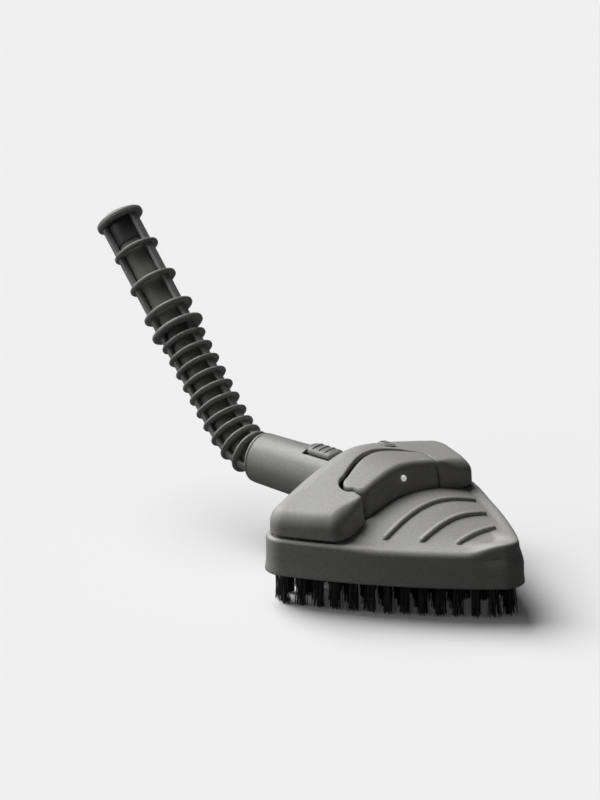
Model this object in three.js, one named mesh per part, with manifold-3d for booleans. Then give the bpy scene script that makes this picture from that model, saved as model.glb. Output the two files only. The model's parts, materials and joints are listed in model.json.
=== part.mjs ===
// Triangular steam brush head with a neck tube and a flexible ribbed hose boot.
// Millimetres, +Z up, +X towards the nose. z = 0 is the plane of the bristle tips, and the origin is
// the tip of the tuft in the middle of the brush.
import * as THREE from 'three';
import { mergeVertices } from 'three/addons/utils/BufferGeometryUtils.js';
import Module from 'manifold-3d';

// ---------- driving dimensions ----------

const CLEARANCE = 0.3;

// Plan of the head: a triangle with bulging sides and round corners, nose at +X.
const HALF_WIDTH = 80;
const PLAN_LENGTH = 129;
const SIDE_BULGE = 8;
const CORNER_RADIUS = 12;

// Heights of the head.
const BRISTLE_LENGTH = 18.5;
const SKIRT_HEIGHT = 21.4;
const SKIRT_FOOT = BRISTLE_LENGTH;
const SKIRT_TOP = SKIRT_FOOT + SKIRT_HEIGHT;
const SHELL_WALL = 2.4;
const DECK_FILLET = 2;

// Crowned deck between the cover's front wall and the nose.
const WALL_X = 0;
const DECK_REAR_X = -3;
const DECK_FRONT_X = 62;
const DECK_CREST = 11.4;
const DECK_RIBS = [
  { x: 15.2, halfSpan: 39.5, bow: 1.6 },
  { x: 32.4, halfSpan: 28.4, bow: 0.8 },
  { x: 49.0, halfSpan: 16.5, bow: 0.4 },
];
const RIB_HALF_WIDTH = 1.7;
const RIB_HEIGHT = 1.1;

// Rear cover.
const COVER_INSET = 2.2;
const COVER_FOOT = SKIRT_TOP + CLEARANCE;
const COVER_WALL = 2.3;
const COVER_EDGE = 7;
const COVER_FRONT_CORNER = 8;
const ROOF_CREST = SKIRT_FOOT + 52.2;
const ROOF_CREST_X = -38;
const ARM_LEAN = 0.18;

// Trigger lever in the cover's front, hinged at its rear edge.
const LEVER_HALF_WIDTH = 33.5;
const LEVER_BACK_X = -28.5;
const LEVER_END_RADIUS = 7;
const LEVER_GROOVE = 2.4;
const LEVER_FRONT_X = -3.4;
const LEVER_LEAN = 0.48;
const LEVER_WALL = 2.2;
const LEVER_FOOT_DROP = 2.2;
const LEVER_BACK_RISE = 6;
const PIVOT = { x: -21.5, z: SKIRT_FOOT + 43 };
const LEVER_END_X = -15.5;
// Slide lock: an oval through the cover, held by a flange that hangs `room` below the cover's underside.
const LOCK = { x: -35.4, y: 22, length: 10.4, halfWidth: 4.3, proud: 0.7, flange: 1.4, room: 2.4, travel: 2 };
const PIN_RADIUS = 1.2;
const PIN_HALF_LENGTH = 19;
const BRACKET = { from: 12, to: 15, halfLength: 2.3 };
const LUG = { from: 15.8, to: 19.4, halfLength: 2.3 };

// Steam valve under the lever.
const VALVE_X = -12.8;
const VALVE_FOOT = SKIRT_TOP + 1.2;
const VALVE_RADIUS = 5;
const PLUNGER_RADIUS = 2;
const CAP_RADIUS = 3.4;
const CAP_HEIGHT = 1.6;
const VALVE_HEIGHT = 8.5;
const PLUNGER_TOP = VALVE_FOOT + 15.2;

// Brush plate, its tufts and its screws.
const PLATE_THICKNESS = 4;
const PLATE_FOOT = SKIRT_FOOT + 1.2;
const TUFT_PITCH = 9.8;
const TUFT_RADIUS = 2.1;
const TUFT_INSET = 7;
const CARRIER_THICKNESS = 1;
const PLATE_SCREWS = [[52, 0], [-26, 44], [-26, -44]];
const BOSS_RADIUS = 4;
const SCREW_HEAD = 3;
const NOZZLE_X = -19.6;
const NOZZLE_RADIUS = 7;

// Cover screws, driven up through the base shell.
const COVER_SCREWS = [[-12, 44], [-12, -44], [-36, 60], [-36, -60]];
const COVER_BOSS_RADIUS = 3.6;
const COVER_PILOT_RADIUS = 1.4;

// Neck tube and what it carries.
const NECK_Z = SKIRT_FOOT + 28;
const NECK_RADIUS = 14.5;
const NECK_ROOT_RADIUS = 15.6;
const NECK_BORE = 11.9;
const NECK_ROOT_X = -38.5;
const NECK_FLANGE_RADIUS = 18;
const RIM_X = -110;
const RIM_LIP = 2;
const SPIGOT_X = -56;
const SPIGOT_ROOT = 40.5;
const SPIGOT_RADIUS = 9;
const BARB_RADIUS = 5.2;
const BASE_DEPTH = 16;
const COUPLING_DEPTH = 16;
const COUPLING_BORE = 7;
const HOSE_RADIUS = 8.6;
const HOSE_BORE = 6;

// Release button on the top of the neck.
const BUTTON = { x: -64, length: 22, halfWidth: 6.5, height: 3.2, ridgePitch: 4.6 };
const BUTTON_FLOOR = NECK_Z + 12.2;
const BUTTON_SPRING_HEIGHT = 2.6;

// Flexible boot: gaps between ring centres from the neck's rim, and how far each gap is bent at rest.
const BEND_ROLL = THREE.MathUtils.degToRad(12.5);
const FIRST_GAP = 8.5;
const RING_PITCH = 8.7;
const THIN_RINGS = 10;
const REST_BENDS = [18.5, 11.5, 8, 5.5];
const THIN_RING = { radius: 13.5, thickness: 2.3 };
const CAGE_RADIUS = 11.7;
const CAGE_BORE = 9.6;
const STRUTS = 3;
const STRUT_ARC = THREE.MathUtils.degToRad(22);
const STRUT_TURN = THREE.MathUtils.degToRad(26.6);
const STUB = 2.4;
// Stiff cuff past the last thin ring: distance on from the ring before, outer radius, thickness.
const CUFF_RINGS = [
  { step: 8.2, radius: 15.7, thickness: 3 },
  { step: 11.7, radius: 15, thickness: 2.6 },
  { step: 19.7, radius: 14.2, thickness: 2.6 },
  { step: 21.3, radius: 13.5, thickness: 2.6 },
  { step: 21.3, radius: 14, thickness: 4 },
];

const COLOURS = {
  shell: 0x6c6b69,
  lever: 0x615f5d,
  neck: 0x6f6e6c,
  boot: 0x4b4a48,
  hose: 0x2b2a29,
  bristle: 0x121110,
  plate: 0x2e2d2c,
  steel: 0xb4b6b8,
  brass: 0xb8954f,
  rubber: 0x1b1b1b,
  white: 0xf2f2ee,
};

// ---------- helpers ----------

const wasm = await Module();
wasm.setup();

function toSolid(geometry) {
  const bare = geometry.clone();
  bare.deleteAttribute('normal');
  bare.deleteAttribute('uv');
  const merged = mergeVertices(bare, 1e-4);
  return new wasm.Manifold(new wasm.Mesh({
    numProp: 3,
    vertProperties: new Float32Array(merged.attributes.position.array),
    triVerts: new Uint32Array(merged.index.array),
  }));
}

function toGeometry(solid) {
  const mesh = solid.getMesh();
  const geometry = new THREE.BufferGeometry();
  geometry.setAttribute('position', new THREE.BufferAttribute(mesh.vertProperties, 3));
  geometry.setIndex(new THREE.BufferAttribute(mesh.triVerts, 1));
  geometry.computeVertexNormals();
  return geometry;
}

function moved(geometry, x, y, z) {
  return geometry.translate(x, y, z);
}

// A closed solid through rings of equal count, each end closed by a fan about the ring's middle.
function loft(rings) {
  const count = rings[0].length;
  const points = rings.flat();
  const triangles = [];
  for (let ring = 0; ring + 1 < rings.length; ring += 1) {
    for (let i = 0; i < count; i += 1) {
      const j = (i + 1) % count;
      const a = ring * count + i;
      const b = ring * count + j;
      triangles.push(a, b, b + count, a, b + count, a + count);
    }
  }
  const capEnd = (ring, flipped) => {
    const middle = new THREE.Vector3();
    rings[ring].forEach((point) => middle.add(point));
    points.push(middle.divideScalar(count));
    for (let i = 0; i < count; i += 1) {
      const a = ring * count + i;
      const b = ring * count + ((i + 1) % count);
      triangles.push(...(flipped ? [b, a, points.length - 1] : [a, b, points.length - 1]));
    }
  };
  capEnd(0, true);
  capEnd(rings.length - 1, false);
  let volume = 0;
  for (let i = 0; i < triangles.length; i += 3) {
    const [a, b, c] = triangles.slice(i, i + 3).map((index) => points[index]);
    volume += a.dot(new THREE.Vector3().crossVectors(b, c));
  }
  if (volume < 0) {
    triangles.reverse();
  }
  const geometry = new THREE.BufferGeometry().setFromPoints(points);
  geometry.setIndex(triangles);
  return geometry;
}

// Upright prism of a plan outline, from z = low to z = high.
function prism(outline, low, high) {
  const geometry = new THREE.ExtrudeGeometry(new THREE.Shape(outline), {
    depth: high - low,
    bevelEnabled: false,
  });
  return moved(geometry, 0, 0, low);
}

// Upright round bar or disc.
function disc(radius, low, high, segments = 24, x = 0, y = 0) {
  const geometry = new THREE.CylinderGeometry(radius, radius, high - low, segments);
  return moved(geometry.rotateX(Math.PI / 2), x, y, (low + high) / 2);
}

// Solid of revolution about Z from [radius, z] pairs; a closed profile makes a ring.
function turned(profile, segments = 24) {
  const geometry = new THREE.LatheGeometry(profile.map(([r, z]) => new THREE.Vector2(r, z)), segments);
  const solid = toSolid(geometry.rotateX(Math.PI / 2));
  return toGeometry(solid);
}

function ring(inner, outer, low, high, segments = 24) {
  return turned([[inner, low], [outer, low], [outer, high], [inner, high], [inner, low]], segments);
}

function cut(body, ...tools) {
  return toGeometry(tools.reduce((left, tool) => left.subtract(toSolid(tool)), toSolid(body)));
}

function join(body, ...others) {
  return toGeometry(others.reduce((left, other) => left.add(toSolid(other)), toSolid(body)));
}

function common(body, ...others) {
  return toGeometry(others.reduce((left, other) => left.intersect(toSolid(other)), toSolid(body)));
}

function box(x0, x1, y0, y1, z0, z1) {
  const geometry = new THREE.BoxGeometry(x1 - x0, y1 - y0, z1 - z0);
  return moved(geometry, (x0 + x1) / 2, (y0 + y1) / 2, (z0 + z1) / 2);
}

// Turns a shape made along +Z so that it lies along -X, with its base at the given point.
function alongNeck(geometry, x) {
  return moved(geometry.rotateY(-Math.PI / 2), x, 0, NECK_Z);
}

function smooth(t) {
  const clamped = THREE.MathUtils.clamp(t, 0, 1);
  return clamped * clamped * (3 - 2 * clamped);
}

// ---------- plan outlines ----------

// The three sides as circles: centre and radius of the arc through each pair of the triangle's points.
const TRIANGLE = [
  new THREE.Vector2((2 * PLAN_LENGTH) / 3, 0),
  new THREE.Vector2(-PLAN_LENGTH / 3, HALF_WIDTH),
  new THREE.Vector2(-PLAN_LENGTH / 3, -HALF_WIDTH),
];

const SIDES = TRIANGLE.map((start, index) => {
  const along = TRIANGLE[(index + 1) % 3].clone().sub(start);
  const span = along.length();
  const radius = (span * span / 4 + SIDE_BULGE * SIDE_BULGE) / (2 * SIDE_BULGE);
  const inward = new THREE.Vector2(-along.y, along.x).divideScalar(span);
  const centre = start.clone().addScaledVector(along, 0.5).addScaledVector(inward, radius - SIDE_BULGE);
  return { centre, radius };
});

function circlesMeeting(first, firstRadius, second, secondRadius, near) {
  const between = second.clone().sub(first);
  const span = between.length();
  const along = (span * span + firstRadius ** 2 - secondRadius ** 2) / (2 * span);
  const across = Math.sqrt(firstRadius ** 2 - along ** 2);
  const unit = between.divideScalar(span);
  const side = new THREE.Vector2(-unit.y, unit.x);
  const foot = first.clone().addScaledVector(unit, along);
  const meetings = [across, -across].map((reach) => foot.clone().addScaledVector(side, reach));
  return meetings[0].distanceTo(near) < meetings[1].distanceTo(near) ? meetings[0] : meetings[1];
}

const CORNERS = TRIANGLE.map((corner, index) => {
  const before = SIDES[(index + 2) % 3];
  const after = SIDES[index];
  return circlesMeeting(before.centre, before.radius - CORNER_RADIUS,
    after.centre, after.radius - CORNER_RADIUS, corner);
});

function arcPoints(centre, radius, from, to, steps, keepEnds) {
  const start = Math.atan2(from.y - centre.y, from.x - centre.x);
  let end = Math.atan2(to.y - centre.y, to.x - centre.x);
  if (end < start - 1e-9) {
    end += 2 * Math.PI;
  }
  const points = [];
  for (let i = keepEnds ? 0 : 1; keepEnds ? i <= steps : i < steps; i += 1) {
    const angle = start + ((end - start) * i) / steps;
    points.push(new THREE.Vector2(
      centre.x + radius * Math.cos(angle),
      centre.y + radius * Math.sin(angle),
    ));
  }
  return points;
}

// Point where a circle round a side's centre passes a corner's centre.
function tangent(side, corner, radius) {
  const outward = corner.clone().sub(side.centre).normalize();
  return side.centre.clone().addScaledVector(outward, radius);
}

function headOutline(inset, cornerSteps = 5, sideSteps = 8) {
  const points = [];
  CORNERS.forEach((corner, index) => {
    const before = SIDES[(index + 2) % 3];
    const after = SIDES[index];
    const next = CORNERS[(index + 1) % 3];
    const first = tangent(before, corner, before.radius - inset);
    const last = tangent(after, corner, after.radius - inset);
    const end = tangent(after, next, after.radius - inset);
    points.push(...arcPoints(corner, CORNER_RADIUS - inset, first, last, cornerSteps, true));
    points.push(...arcPoints(after.centre, after.radius - inset, last, end, sideSteps, false));
  });
  return points;
}

// Rear part of the plan, closed by a straight front line at x = frontX with round front corners.
function coverOutline(inset, frontX) {
  const corner = COVER_FRONT_CORNER - Math.min(inset - COVER_INSET, COVER_FRONT_CORNER - 2);
  const [rightSide, backSide, leftSide] = SIDES;
  const [, farCorner, nearCorner] = CORNERS;
  const reach = rightSide.radius - inset - corner;
  const centreX = frontX - corner;
  const centreY = rightSide.centre.y + Math.sqrt(reach ** 2 - (centreX - rightSide.centre.x) ** 2);
  const front = new THREE.Vector2(centreX, centreY);
  const points = [];
  points.push(...arcPoints(front, corner, new THREE.Vector2(frontX, centreY),
    tangent(rightSide, front, rightSide.radius - inset), 4, true));
  points.push(...arcPoints(rightSide.centre, rightSide.radius - inset,
    tangent(rightSide, front, 1), tangent(rightSide, farCorner, 1), 5, false));
  points.push(...arcPoints(farCorner, CORNER_RADIUS - inset,
    tangent(rightSide, farCorner, rightSide.radius), tangent(backSide, farCorner, backSide.radius), 5, true));
  points.push(...arcPoints(backSide.centre, backSide.radius - inset,
    tangent(backSide, farCorner, 1), tangent(backSide, nearCorner, 1), 8, false));
  const half = points.filter((point) => point.y > 1e-6);
  const middle = new THREE.Vector2(backSide.centre.x - (backSide.radius - inset), 0);
  const lower = half.map((point) => new THREE.Vector2(point.x, -point.y)).reverse();
  const frontLine = [-0.6, -0.2, 0.2, 0.6].map((share) => new THREE.Vector2(frontX, centreY * share));
  return [...half, middle, ...lower, ...frontLine];
}

// ---------- surfaces ----------

function halfWidthAt(x) {
  const side = SIDES[0];
  return side.centre.y + Math.sqrt(side.radius ** 2 - (x - side.centre.x) ** 2);
}

function crownHalfWidth(x) {
  return halfWidthAt(x) - 10.5;
}

function deckHeight(x, y) {
  const along = THREE.MathUtils.clamp((x - DECK_REAR_X) / (DECK_FRONT_X - DECK_REAR_X), 0, 1);
  const across = Math.min(Math.abs(y) / crownHalfWidth(x), 1);
  const crest = DECK_CREST * Math.cos((Math.PI / 2) * along) ** 1.5;
  return SKIRT_TOP + crest * Math.cos((Math.PI / 2) * across);
}

function roofHeight(x, y) {
  const forward = 0.1 * Math.max(x - ROOF_CREST_X, 0) + 0.3 * Math.max(ROOF_CREST_X - x, 0);
  const sideways = 0.28 * (Math.hypot(y, 15) - 15);
  return ROOF_CREST - forward - sideways;
}

// The front wall of the cover's arms leans back as it rises.
function leanBack(x, z) {
  return ARM_LEAN * (z - COVER_FOOT) * smooth((x + 18) / 18);
}

// The lever's front wall leans back more, from the deck up.
function leverLean(x, z) {
  return LEVER_LEAN * Math.max(z - SKIRT_TOP - DECK_CREST, 0) * smooth((x + 14) / 10);
}

// ---------- head: shells ----------

function crownSolid(drop, rearX) {
  const stations = 8;
  const steps = 12;
  const frontX = DECK_FRONT_X - 1.5 - drop * 2;
  const rings = [];
  for (let i = 0; i <= stations; i += 1) {
    const x = rearX + ((frontX - rearX) * i) / stations;
    const half = crownHalfWidth(x) - drop * 1.4;
    const section = [];
    for (let j = 0; j <= steps; j += 1) {
      const y = half * (1 - (2 * j) / steps);
      section.push(new THREE.Vector3(x, y, Math.max(deckHeight(x, y) - drop, SKIRT_TOP - SHELL_WALL)));
    }
    section.push(new THREE.Vector3(x, -half, SKIRT_TOP - 5));
    section.push(new THREE.Vector3(x, half, SKIRT_TOP - 5));
    rings.push(section);
  }
  return loft(rings);
}

function deckRib({ x, halfSpan, bow }) {
  const stations = 8;
  const sides = 6;
  const rings = [];
  for (let i = 0; i <= stations; i += 1) {
    const y = halfSpan * (1 - (2 * i) / stations);
    const share = i === 0 || i === stations ? 0.35 : 1;
    const middleX = x - bow * Math.cos((Math.PI / 2) * (y / halfSpan));
    const section = [];
    for (let j = 0; j < sides; j += 1) {
      const angle = (2 * Math.PI * j) / sides;
      const px = middleX + share * RIB_HALF_WIDTH * Math.cos(angle);
      section.push(new THREE.Vector3(px, y, deckHeight(px, y) + share * RIB_HEIGHT * Math.sin(angle)));
    }
    rings.push(section);
  }
  return loft(rings);
}

function baseShell() {
  const lift = (outline, z) => outline.map((point) => new THREE.Vector3(point.x, point.y, z));
  const outer = loft([
    lift(headOutline(-0.7), SKIRT_FOOT),
    lift(headOutline(0), SKIRT_FOOT + 6),
    lift(headOutline(0), SKIRT_TOP - DECK_FILLET),
    lift(headOutline(0.6), SKIRT_TOP - 0.6),
    lift(headOutline(DECK_FILLET), SKIRT_TOP),
  ]);
  const hollow = prism(headOutline(SHELL_WALL), SKIRT_FOOT - 1, SKIRT_TOP - SHELL_WALL);
  const crown = crownSolid(0, DECK_REAR_X);
  const crownHollow = crownSolid(SHELL_WALL, DECK_REAR_X + SHELL_WALL);
  const bosses = PLATE_SCREWS.map(([x, y]) =>
    disc(BOSS_RADIUS, PLATE_FOOT + PLATE_THICKNESS + CLEARANCE, SKIRT_TOP - 1, 12, x, y));
  const pilots = PLATE_SCREWS.map(([x, y]) =>
    disc(1.5, PLATE_FOOT, PLATE_FOOT + PLATE_THICKNESS + 10, 10, x, y));
  const coverHoles = COVER_SCREWS.map(([x, y]) => disc(1.6, SKIRT_TOP - 4, SKIRT_TOP + 1, 10, x, y));
  const pipeHole = disc(5.5, SKIRT_TOP - 4, SKIRT_TOP + 1, 16, VALVE_X, 0);
  const brackets = [1, -1].map((side) => {
    const [near, far] = [BRACKET.from, BRACKET.to].map((y) => y * side).sort((a, b) => a - b);
    return box(PIVOT.x - BRACKET.halfLength, PIVOT.x + BRACKET.halfLength, near, far,
      SKIRT_TOP - 1, PIVOT.z + BRACKET.halfLength);
  });
  const walls = cut(join(outer, crown), hollow, crownHollow);
  const withRibs = join(walls, ...DECK_RIBS.map(deckRib), ...bosses, ...brackets);
  return cut(withRibs, ...pilots, ...coverHoles, pipeHole, neckEnvelope(CLEARANCE),
    pinBore(PIN_RADIUS + CLEARANCE));
}

function coverSolid(extraInset, drop, foot) {
  const frontX = WALL_X - extraInset;
  const edge = COVER_EDGE - extraInset * 0.8;
  const levels = [
    { inset: 0, fall: edge },
    { inset: edge * 0.12, fall: edge * 0.52 },
    { inset: edge * 0.45, fall: edge * 0.14 },
    { inset: edge, fall: 0 },
  ];
  const rings = [coverOutline(COVER_INSET + extraInset, frontX)
    .map((point) => new THREE.Vector3(point.x, point.y, foot))];
  levels.forEach(({ inset, fall }) => {
    const outline = coverOutline(COVER_INSET + extraInset + inset, frontX - inset);
    rings.push(outline.map((point) => {
      const z = roofHeight(point.x, point.y) - fall - drop;
      return new THREE.Vector3(point.x - leanBack(point.x, z), point.y, z);
    }));
  });
  const innermost = rings[rings.length - 1];
  const middle = new THREE.Vector2(-27, 0);
  [0.66, 0.33].forEach((share) => {
    rings.push(innermost.map((point) => {
      const x = middle.x + (point.x - middle.x) * share;
      const y = middle.y + (point.y - middle.y) * share;
      return new THREE.Vector3(x, y, roofHeight(x, y) - drop);
    }));
  });
  return loft(rings);
}

// Plan of the lever: a crescent with round ends, grown by the given amount.
function leverOutline(grow, frontX) {
  const radius = LEVER_END_RADIUS + grow;
  const endY = LEVER_HALF_WIDTH - LEVER_END_RADIUS;
  const endX = LEVER_END_X;
  const half = [];
  half.push(new THREE.Vector2(frontX, endY + radius * 0.8));
  for (let i = 1; i <= 6; i += 1) {
    const angle = (Math.PI * (i + 1)) / 7;
    half.push(new THREE.Vector2(endX + radius * Math.cos(angle), endY + radius * Math.sin(angle)));
  }
  for (let i = 1; i <= 5; i += 1) {
    const y = endY * (1 - i / 5);
    const back = LEVER_BACK_X - grow;
    const start = endX - radius;
    half.push(new THREE.Vector2(start + (back - start) * Math.sin((Math.PI / 2) * (i / 5)), y));
  }
  const lower = half.slice(0, -1).reverse().map((point) => new THREE.Vector2(point.x, -point.y));
  return [...half, ...lower];
}

// Plan of the slide lock behind the lever's far end: an oval along X, longer at the rear for its slot.
function lockOutline(grow, travel) {
  const { x, y, length, halfWidth } = LOCK;
  const radius = halfWidth + grow;
  const straight = length / 2 - halfWidth;
  const shape = new THREE.Shape();
  shape.absarc(x + straight, y, radius, -Math.PI / 2, Math.PI / 2, false);
  shape.absarc(x - straight - travel, y, radius, Math.PI / 2, 1.5 * Math.PI, false);
  return shape.getPoints(4).slice(0, -1);
}

// Button that follows the roof, with a flange under the cover that keeps it in its slot.
function leverLock() {
  const skin = (grow, lift) => lockOutline(grow, 0).map(({ x, y }) =>
    new THREE.Vector3(x, y, roofHeight(x, y) + lift));
  const under = -COVER_WALL - LOCK.room;
  const stem = loft([skin(0, under - LOCK.flange), skin(0, LOCK.proud - 0.4), skin(-0.7, LOCK.proud)]);
  const flange = loft([skin(1.4, under - LOCK.flange), skin(1.4, under)]);
  return join(stem, flange);
}

function upperCover() {
  const shell = cut(coverSolid(0, 0, COVER_FOOT), coverSolid(COVER_WALL, COVER_WALL, COVER_FOOT - 1));
  const leverOpening = prism(leverOutline(LEVER_GROOVE, 12), COVER_FOOT - 2, ROOF_CREST + 5);
  const bosses = COVER_SCREWS.map(([x, y]) =>
    disc(COVER_BOSS_RADIUS, COVER_FOOT, roofHeight(x, y) - COVER_WALL + 0.6, 12, x, y));
  const pilots = COVER_SCREWS.map(([x, y]) =>
    disc(COVER_PILOT_RADIUS, COVER_FOOT - 1, COVER_FOOT + 9, 10, x, y));
  const lockSlot = lockOutline(CLEARANCE, LOCK.travel + CLEARANCE);
  const crownRoom = crownSolid(-CLEARANCE, DECK_REAR_X - CLEARANCE);
  const opened = cut(shell, leverOpening, crownRoom, neckEnvelope(CLEARANCE));
  const bossed = common(join(opened, ...bosses), coverSolid(0, 0, COVER_FOOT));
  return cut(bossed, ...pilots, prism(lockSlot, COVER_FOOT + 5, ROOF_CREST + 5));
}

// ---------- lever ----------

function leverSolid(shrink, drop, extraDepth) {
  const outline = leverOutline(-shrink, LEVER_FRONT_X - shrink);
  const middle = new THREE.Vector2(-18, 0);
  const topRing = (share, fall) => outline.map((point) => {
    const edgeX = point.x - leverLean(point.x, roofHeight(point.x, point.y) - fall - drop);
    const x = middle.x + (edgeX - middle.x) * share;
    const y = middle.y + (point.y - middle.y) * share;
    return new THREE.Vector3(x, y, roofHeight(x, y) - fall - drop);
  });
  const level = (lift) => outline.map(({ x, y }) =>
    new THREE.Vector3(x, y, deckHeight(x, y) + lift + LEVER_BACK_RISE * smooth((-8 - x) / 6)));
  const foot = level(-LEVER_FOOT_DROP - extraDepth);
  const waist = level(0.6);
  return loft([foot, waist, topRing(1, 2.4), topRing(0.965, 0.9), topRing(0.9, 0.1), topRing(0.5, 0)]);
}

function pinBore(radius) {
  const bore = new THREE.CylinderGeometry(radius, radius, 120, 12);
  return moved(bore, PIVOT.x, 0, PIVOT.z);
}

function indicator(grow) {
  const z = SKIRT_FOOT + 42.2;
  const geometry = new THREE.SphereGeometry(1, 10, 8).scale(1.6 + grow, 1.2 + grow, 1.7 + grow);
  return moved(geometry, LEVER_FRONT_X - leverLean(LEVER_FRONT_X, z) - 0.4, 0, z);
}

function triggerLever() {
  const shell = cut(leverSolid(0, 0, 0), leverSolid(LEVER_WALL, LEVER_WALL, 4));
  const top = (x, y) => roofHeight(x, y) - LEVER_WALL - 0.6;
  const lugs = [1, -1].map((side) => {
    const [near, far] = [LUG.from, LUG.to].map((y) => y * side).sort((a, b) => a - b);
    return box(PIVOT.x - LUG.halfLength, PIVOT.x + LUG.halfLength, near, far,
      PIVOT.z - LUG.halfLength, top(PIVOT.x, LUG.to));
  });
  const pusher = box(VALVE_X - 1.6, VALVE_X + 1.6, -3, 3, PLUNGER_TOP + 0.4, top(VALVE_X, 3));
  return cut(join(shell, ...lugs, pusher), pinBore(PIN_RADIUS + CLEARANCE), indicator(CLEARANCE));
}

// ---------- steam valve and pipes ----------

function valveBody() {
  const top = VALVE_FOOT + VALVE_HEIGHT;
  const outside = [[0, VALVE_FOOT], [VALVE_RADIUS, VALVE_FOOT], [VALVE_RADIUS, top - 1.5],
    [VALVE_RADIUS - 1.2, top], [0, top]];
  const bore = disc(PLUNGER_RADIUS + CLEARANCE, VALVE_FOOT + 2, top + 1, 12);
  const inlet = alongNeck(disc(2.2, 0, 8, 12), -2);
  const outlet = disc(2.2, VALVE_FOOT - 1, VALVE_FOOT + 3, 12);
  return cut(turned(outside, 16), bore, inlet, outlet).translate(VALVE_X, 0, 0);
}

function plunger() {
  const low = VALVE_FOOT + 3.8;
  const profile = [[0, low], [PLUNGER_RADIUS, low], [PLUNGER_RADIUS, PLUNGER_TOP - CAP_HEIGHT],
    [CAP_RADIUS, PLUNGER_TOP - CAP_HEIGHT], [CAP_RADIUS, PLUNGER_TOP - 0.6],
    [CAP_RADIUS - 0.8, PLUNGER_TOP], [0, PLUNGER_TOP]];
  return turned(profile, 12).translate(VALVE_X, 0, 0);
}

// Compression spring along +Z, its wire one turn flat at each end.
function coilSpring(radius, wire, low, high, turns, steps) {
  const points = [];
  for (let i = 0; i <= steps; i += 1) {
    const share = i / steps;
    const angle = 2 * Math.PI * turns * share;
    const rise = smooth(share) * 0.35 + share * 0.65;
    points.push(new THREE.Vector3(
      radius * Math.cos(angle),
      radius * Math.sin(angle),
      low + wire + (high - low - 2 * wire) * rise,
    ));
  }
  const section = new THREE.Shape().absarc(0, 0, wire, 0, 2 * Math.PI, false);
  const path = new THREE.CatmullRomCurve3(points);
  return new THREE.ExtrudeGeometry(section, {
    steps,
    curveSegments: 2,
    bevelEnabled: false,
    extrudePath: path,
  });
}

function hollowTube(points, outer, inner, steps, curveSegments = 6) {
  const section = new THREE.Shape().absarc(0, 0, outer, 0, 2 * Math.PI, false);
  section.holes.push(new THREE.Path().absarc(0, 0, inner, 0, 2 * Math.PI, true));
  return new THREE.ExtrudeGeometry(section, {
    steps,
    curveSegments,
    bevelEnabled: false,
    extrudePath: new THREE.CatmullRomCurve3(points),
  });
}

function steamPipe() {
  const low = -(VALVE_X - VALVE_RADIUS - CLEARANCE);
  return alongNeck(ring(2.2, 3.4, low, SPIGOT_ROOT - CLEARANCE, 16), 0);
}

function outletElbow() {
  return hollowTube([
    new THREE.Vector3(VALVE_X, 0, VALVE_FOOT - CLEARANCE),
    new THREE.Vector3(VALVE_X, 0, VALVE_FOOT - 5),
    new THREE.Vector3(NOZZLE_X, 0, PLATE_FOOT + PLATE_THICKNESS + 5),
    new THREE.Vector3(NOZZLE_X, 0, PLATE_FOOT + PLATE_THICKNESS + CLEARANCE),
  ], 3.6, 2.2, 8, 4);
}

function steamNozzle() {
  const low = PLATE_FOOT - 1.5;
  const high = PLATE_FOOT + PLATE_THICKNESS;
  const body = disc(NOZZLE_RADIUS, low, high, 20);
  const chamber = disc(4.5, low + 1.6, high + 1, 16);
  const jets = [0, 1, 2, 3, 4].map((i) => {
    const angle = (2 * Math.PI * i) / 5;
    return disc(0.7, low - 1, low + 3, 8, 3 * Math.cos(angle), 3 * Math.sin(angle));
  });
  return cut(body, chamber, ...jets).translate(NOZZLE_X, 0, 0);
}

// ---------- brush ----------

function spaced(outline, pitch) {
  const lengths = outline.map((point, i) => point.distanceTo(outline[(i + 1) % outline.length]));
  const total = lengths.reduce((sum, length) => sum + length, 0);
  const count = Math.round(total / pitch);
  const points = [];
  let edge = 0;
  let passed = 0;
  for (let i = 0; i < count; i += 1) {
    const target = (total * (i + 0.5)) / count;
    while (passed + lengths[edge] < target) {
      passed += lengths[edge];
      edge += 1;
    }
    const from = outline[edge];
    const to = outline[(edge + 1) % outline.length];
    points.push(from.clone().lerp(to, (target - passed) / lengths[edge]));
  }
  return points;
}

function tuftPlaces() {
  const outer = headOutline(TUFT_INSET);
  const middleReach = PLAN_LENGTH / 3 + SIDE_BULGE - TUFT_INSET;
  const places = [new THREE.Vector2(0, 0)];
  for (let reach = middleReach; reach > TUFT_PITCH; reach -= TUFT_PITCH) {
    const share = reach / middleReach;
    places.push(...spaced(outer.map((point) => point.clone().multiplyScalar(share)), TUFT_PITCH));
  }
  const keepClear = [...PLATE_SCREWS.map(([x, y]) => [x, y, 6.5]), [NOZZLE_X, 0, NOZZLE_RADIUS + 3]];
  return places.filter((place) =>
    keepClear.every(([x, y, reach]) => Math.hypot(place.x - x, place.y - y) > reach));
}

function underHoles(grow, low, high) {
  const screws = PLATE_SCREWS.map(([x, y]) => disc(SCREW_HEAD + grow, low, high, 12, x, y));
  return [...screws, disc(NOZZLE_RADIUS + CLEARANCE, low, high, 20, NOZZLE_X, 0)];
}

function bristleField() {
  const low = PLATE_FOOT - CARRIER_THICKNESS - CLEARANCE;
  const high = PLATE_FOOT - CLEARANCE;
  const carrier = cut(prism(headOutline(SHELL_WALL + 0.5), low, high), ...underHoles(1, low - 1, high + 1));
  const tufts = tuftPlaces().map(({ x, y }) => disc(TUFT_RADIUS, 0, low + 0.5, 5, x, y));
  return join(carrier, ...tufts);
}

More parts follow.
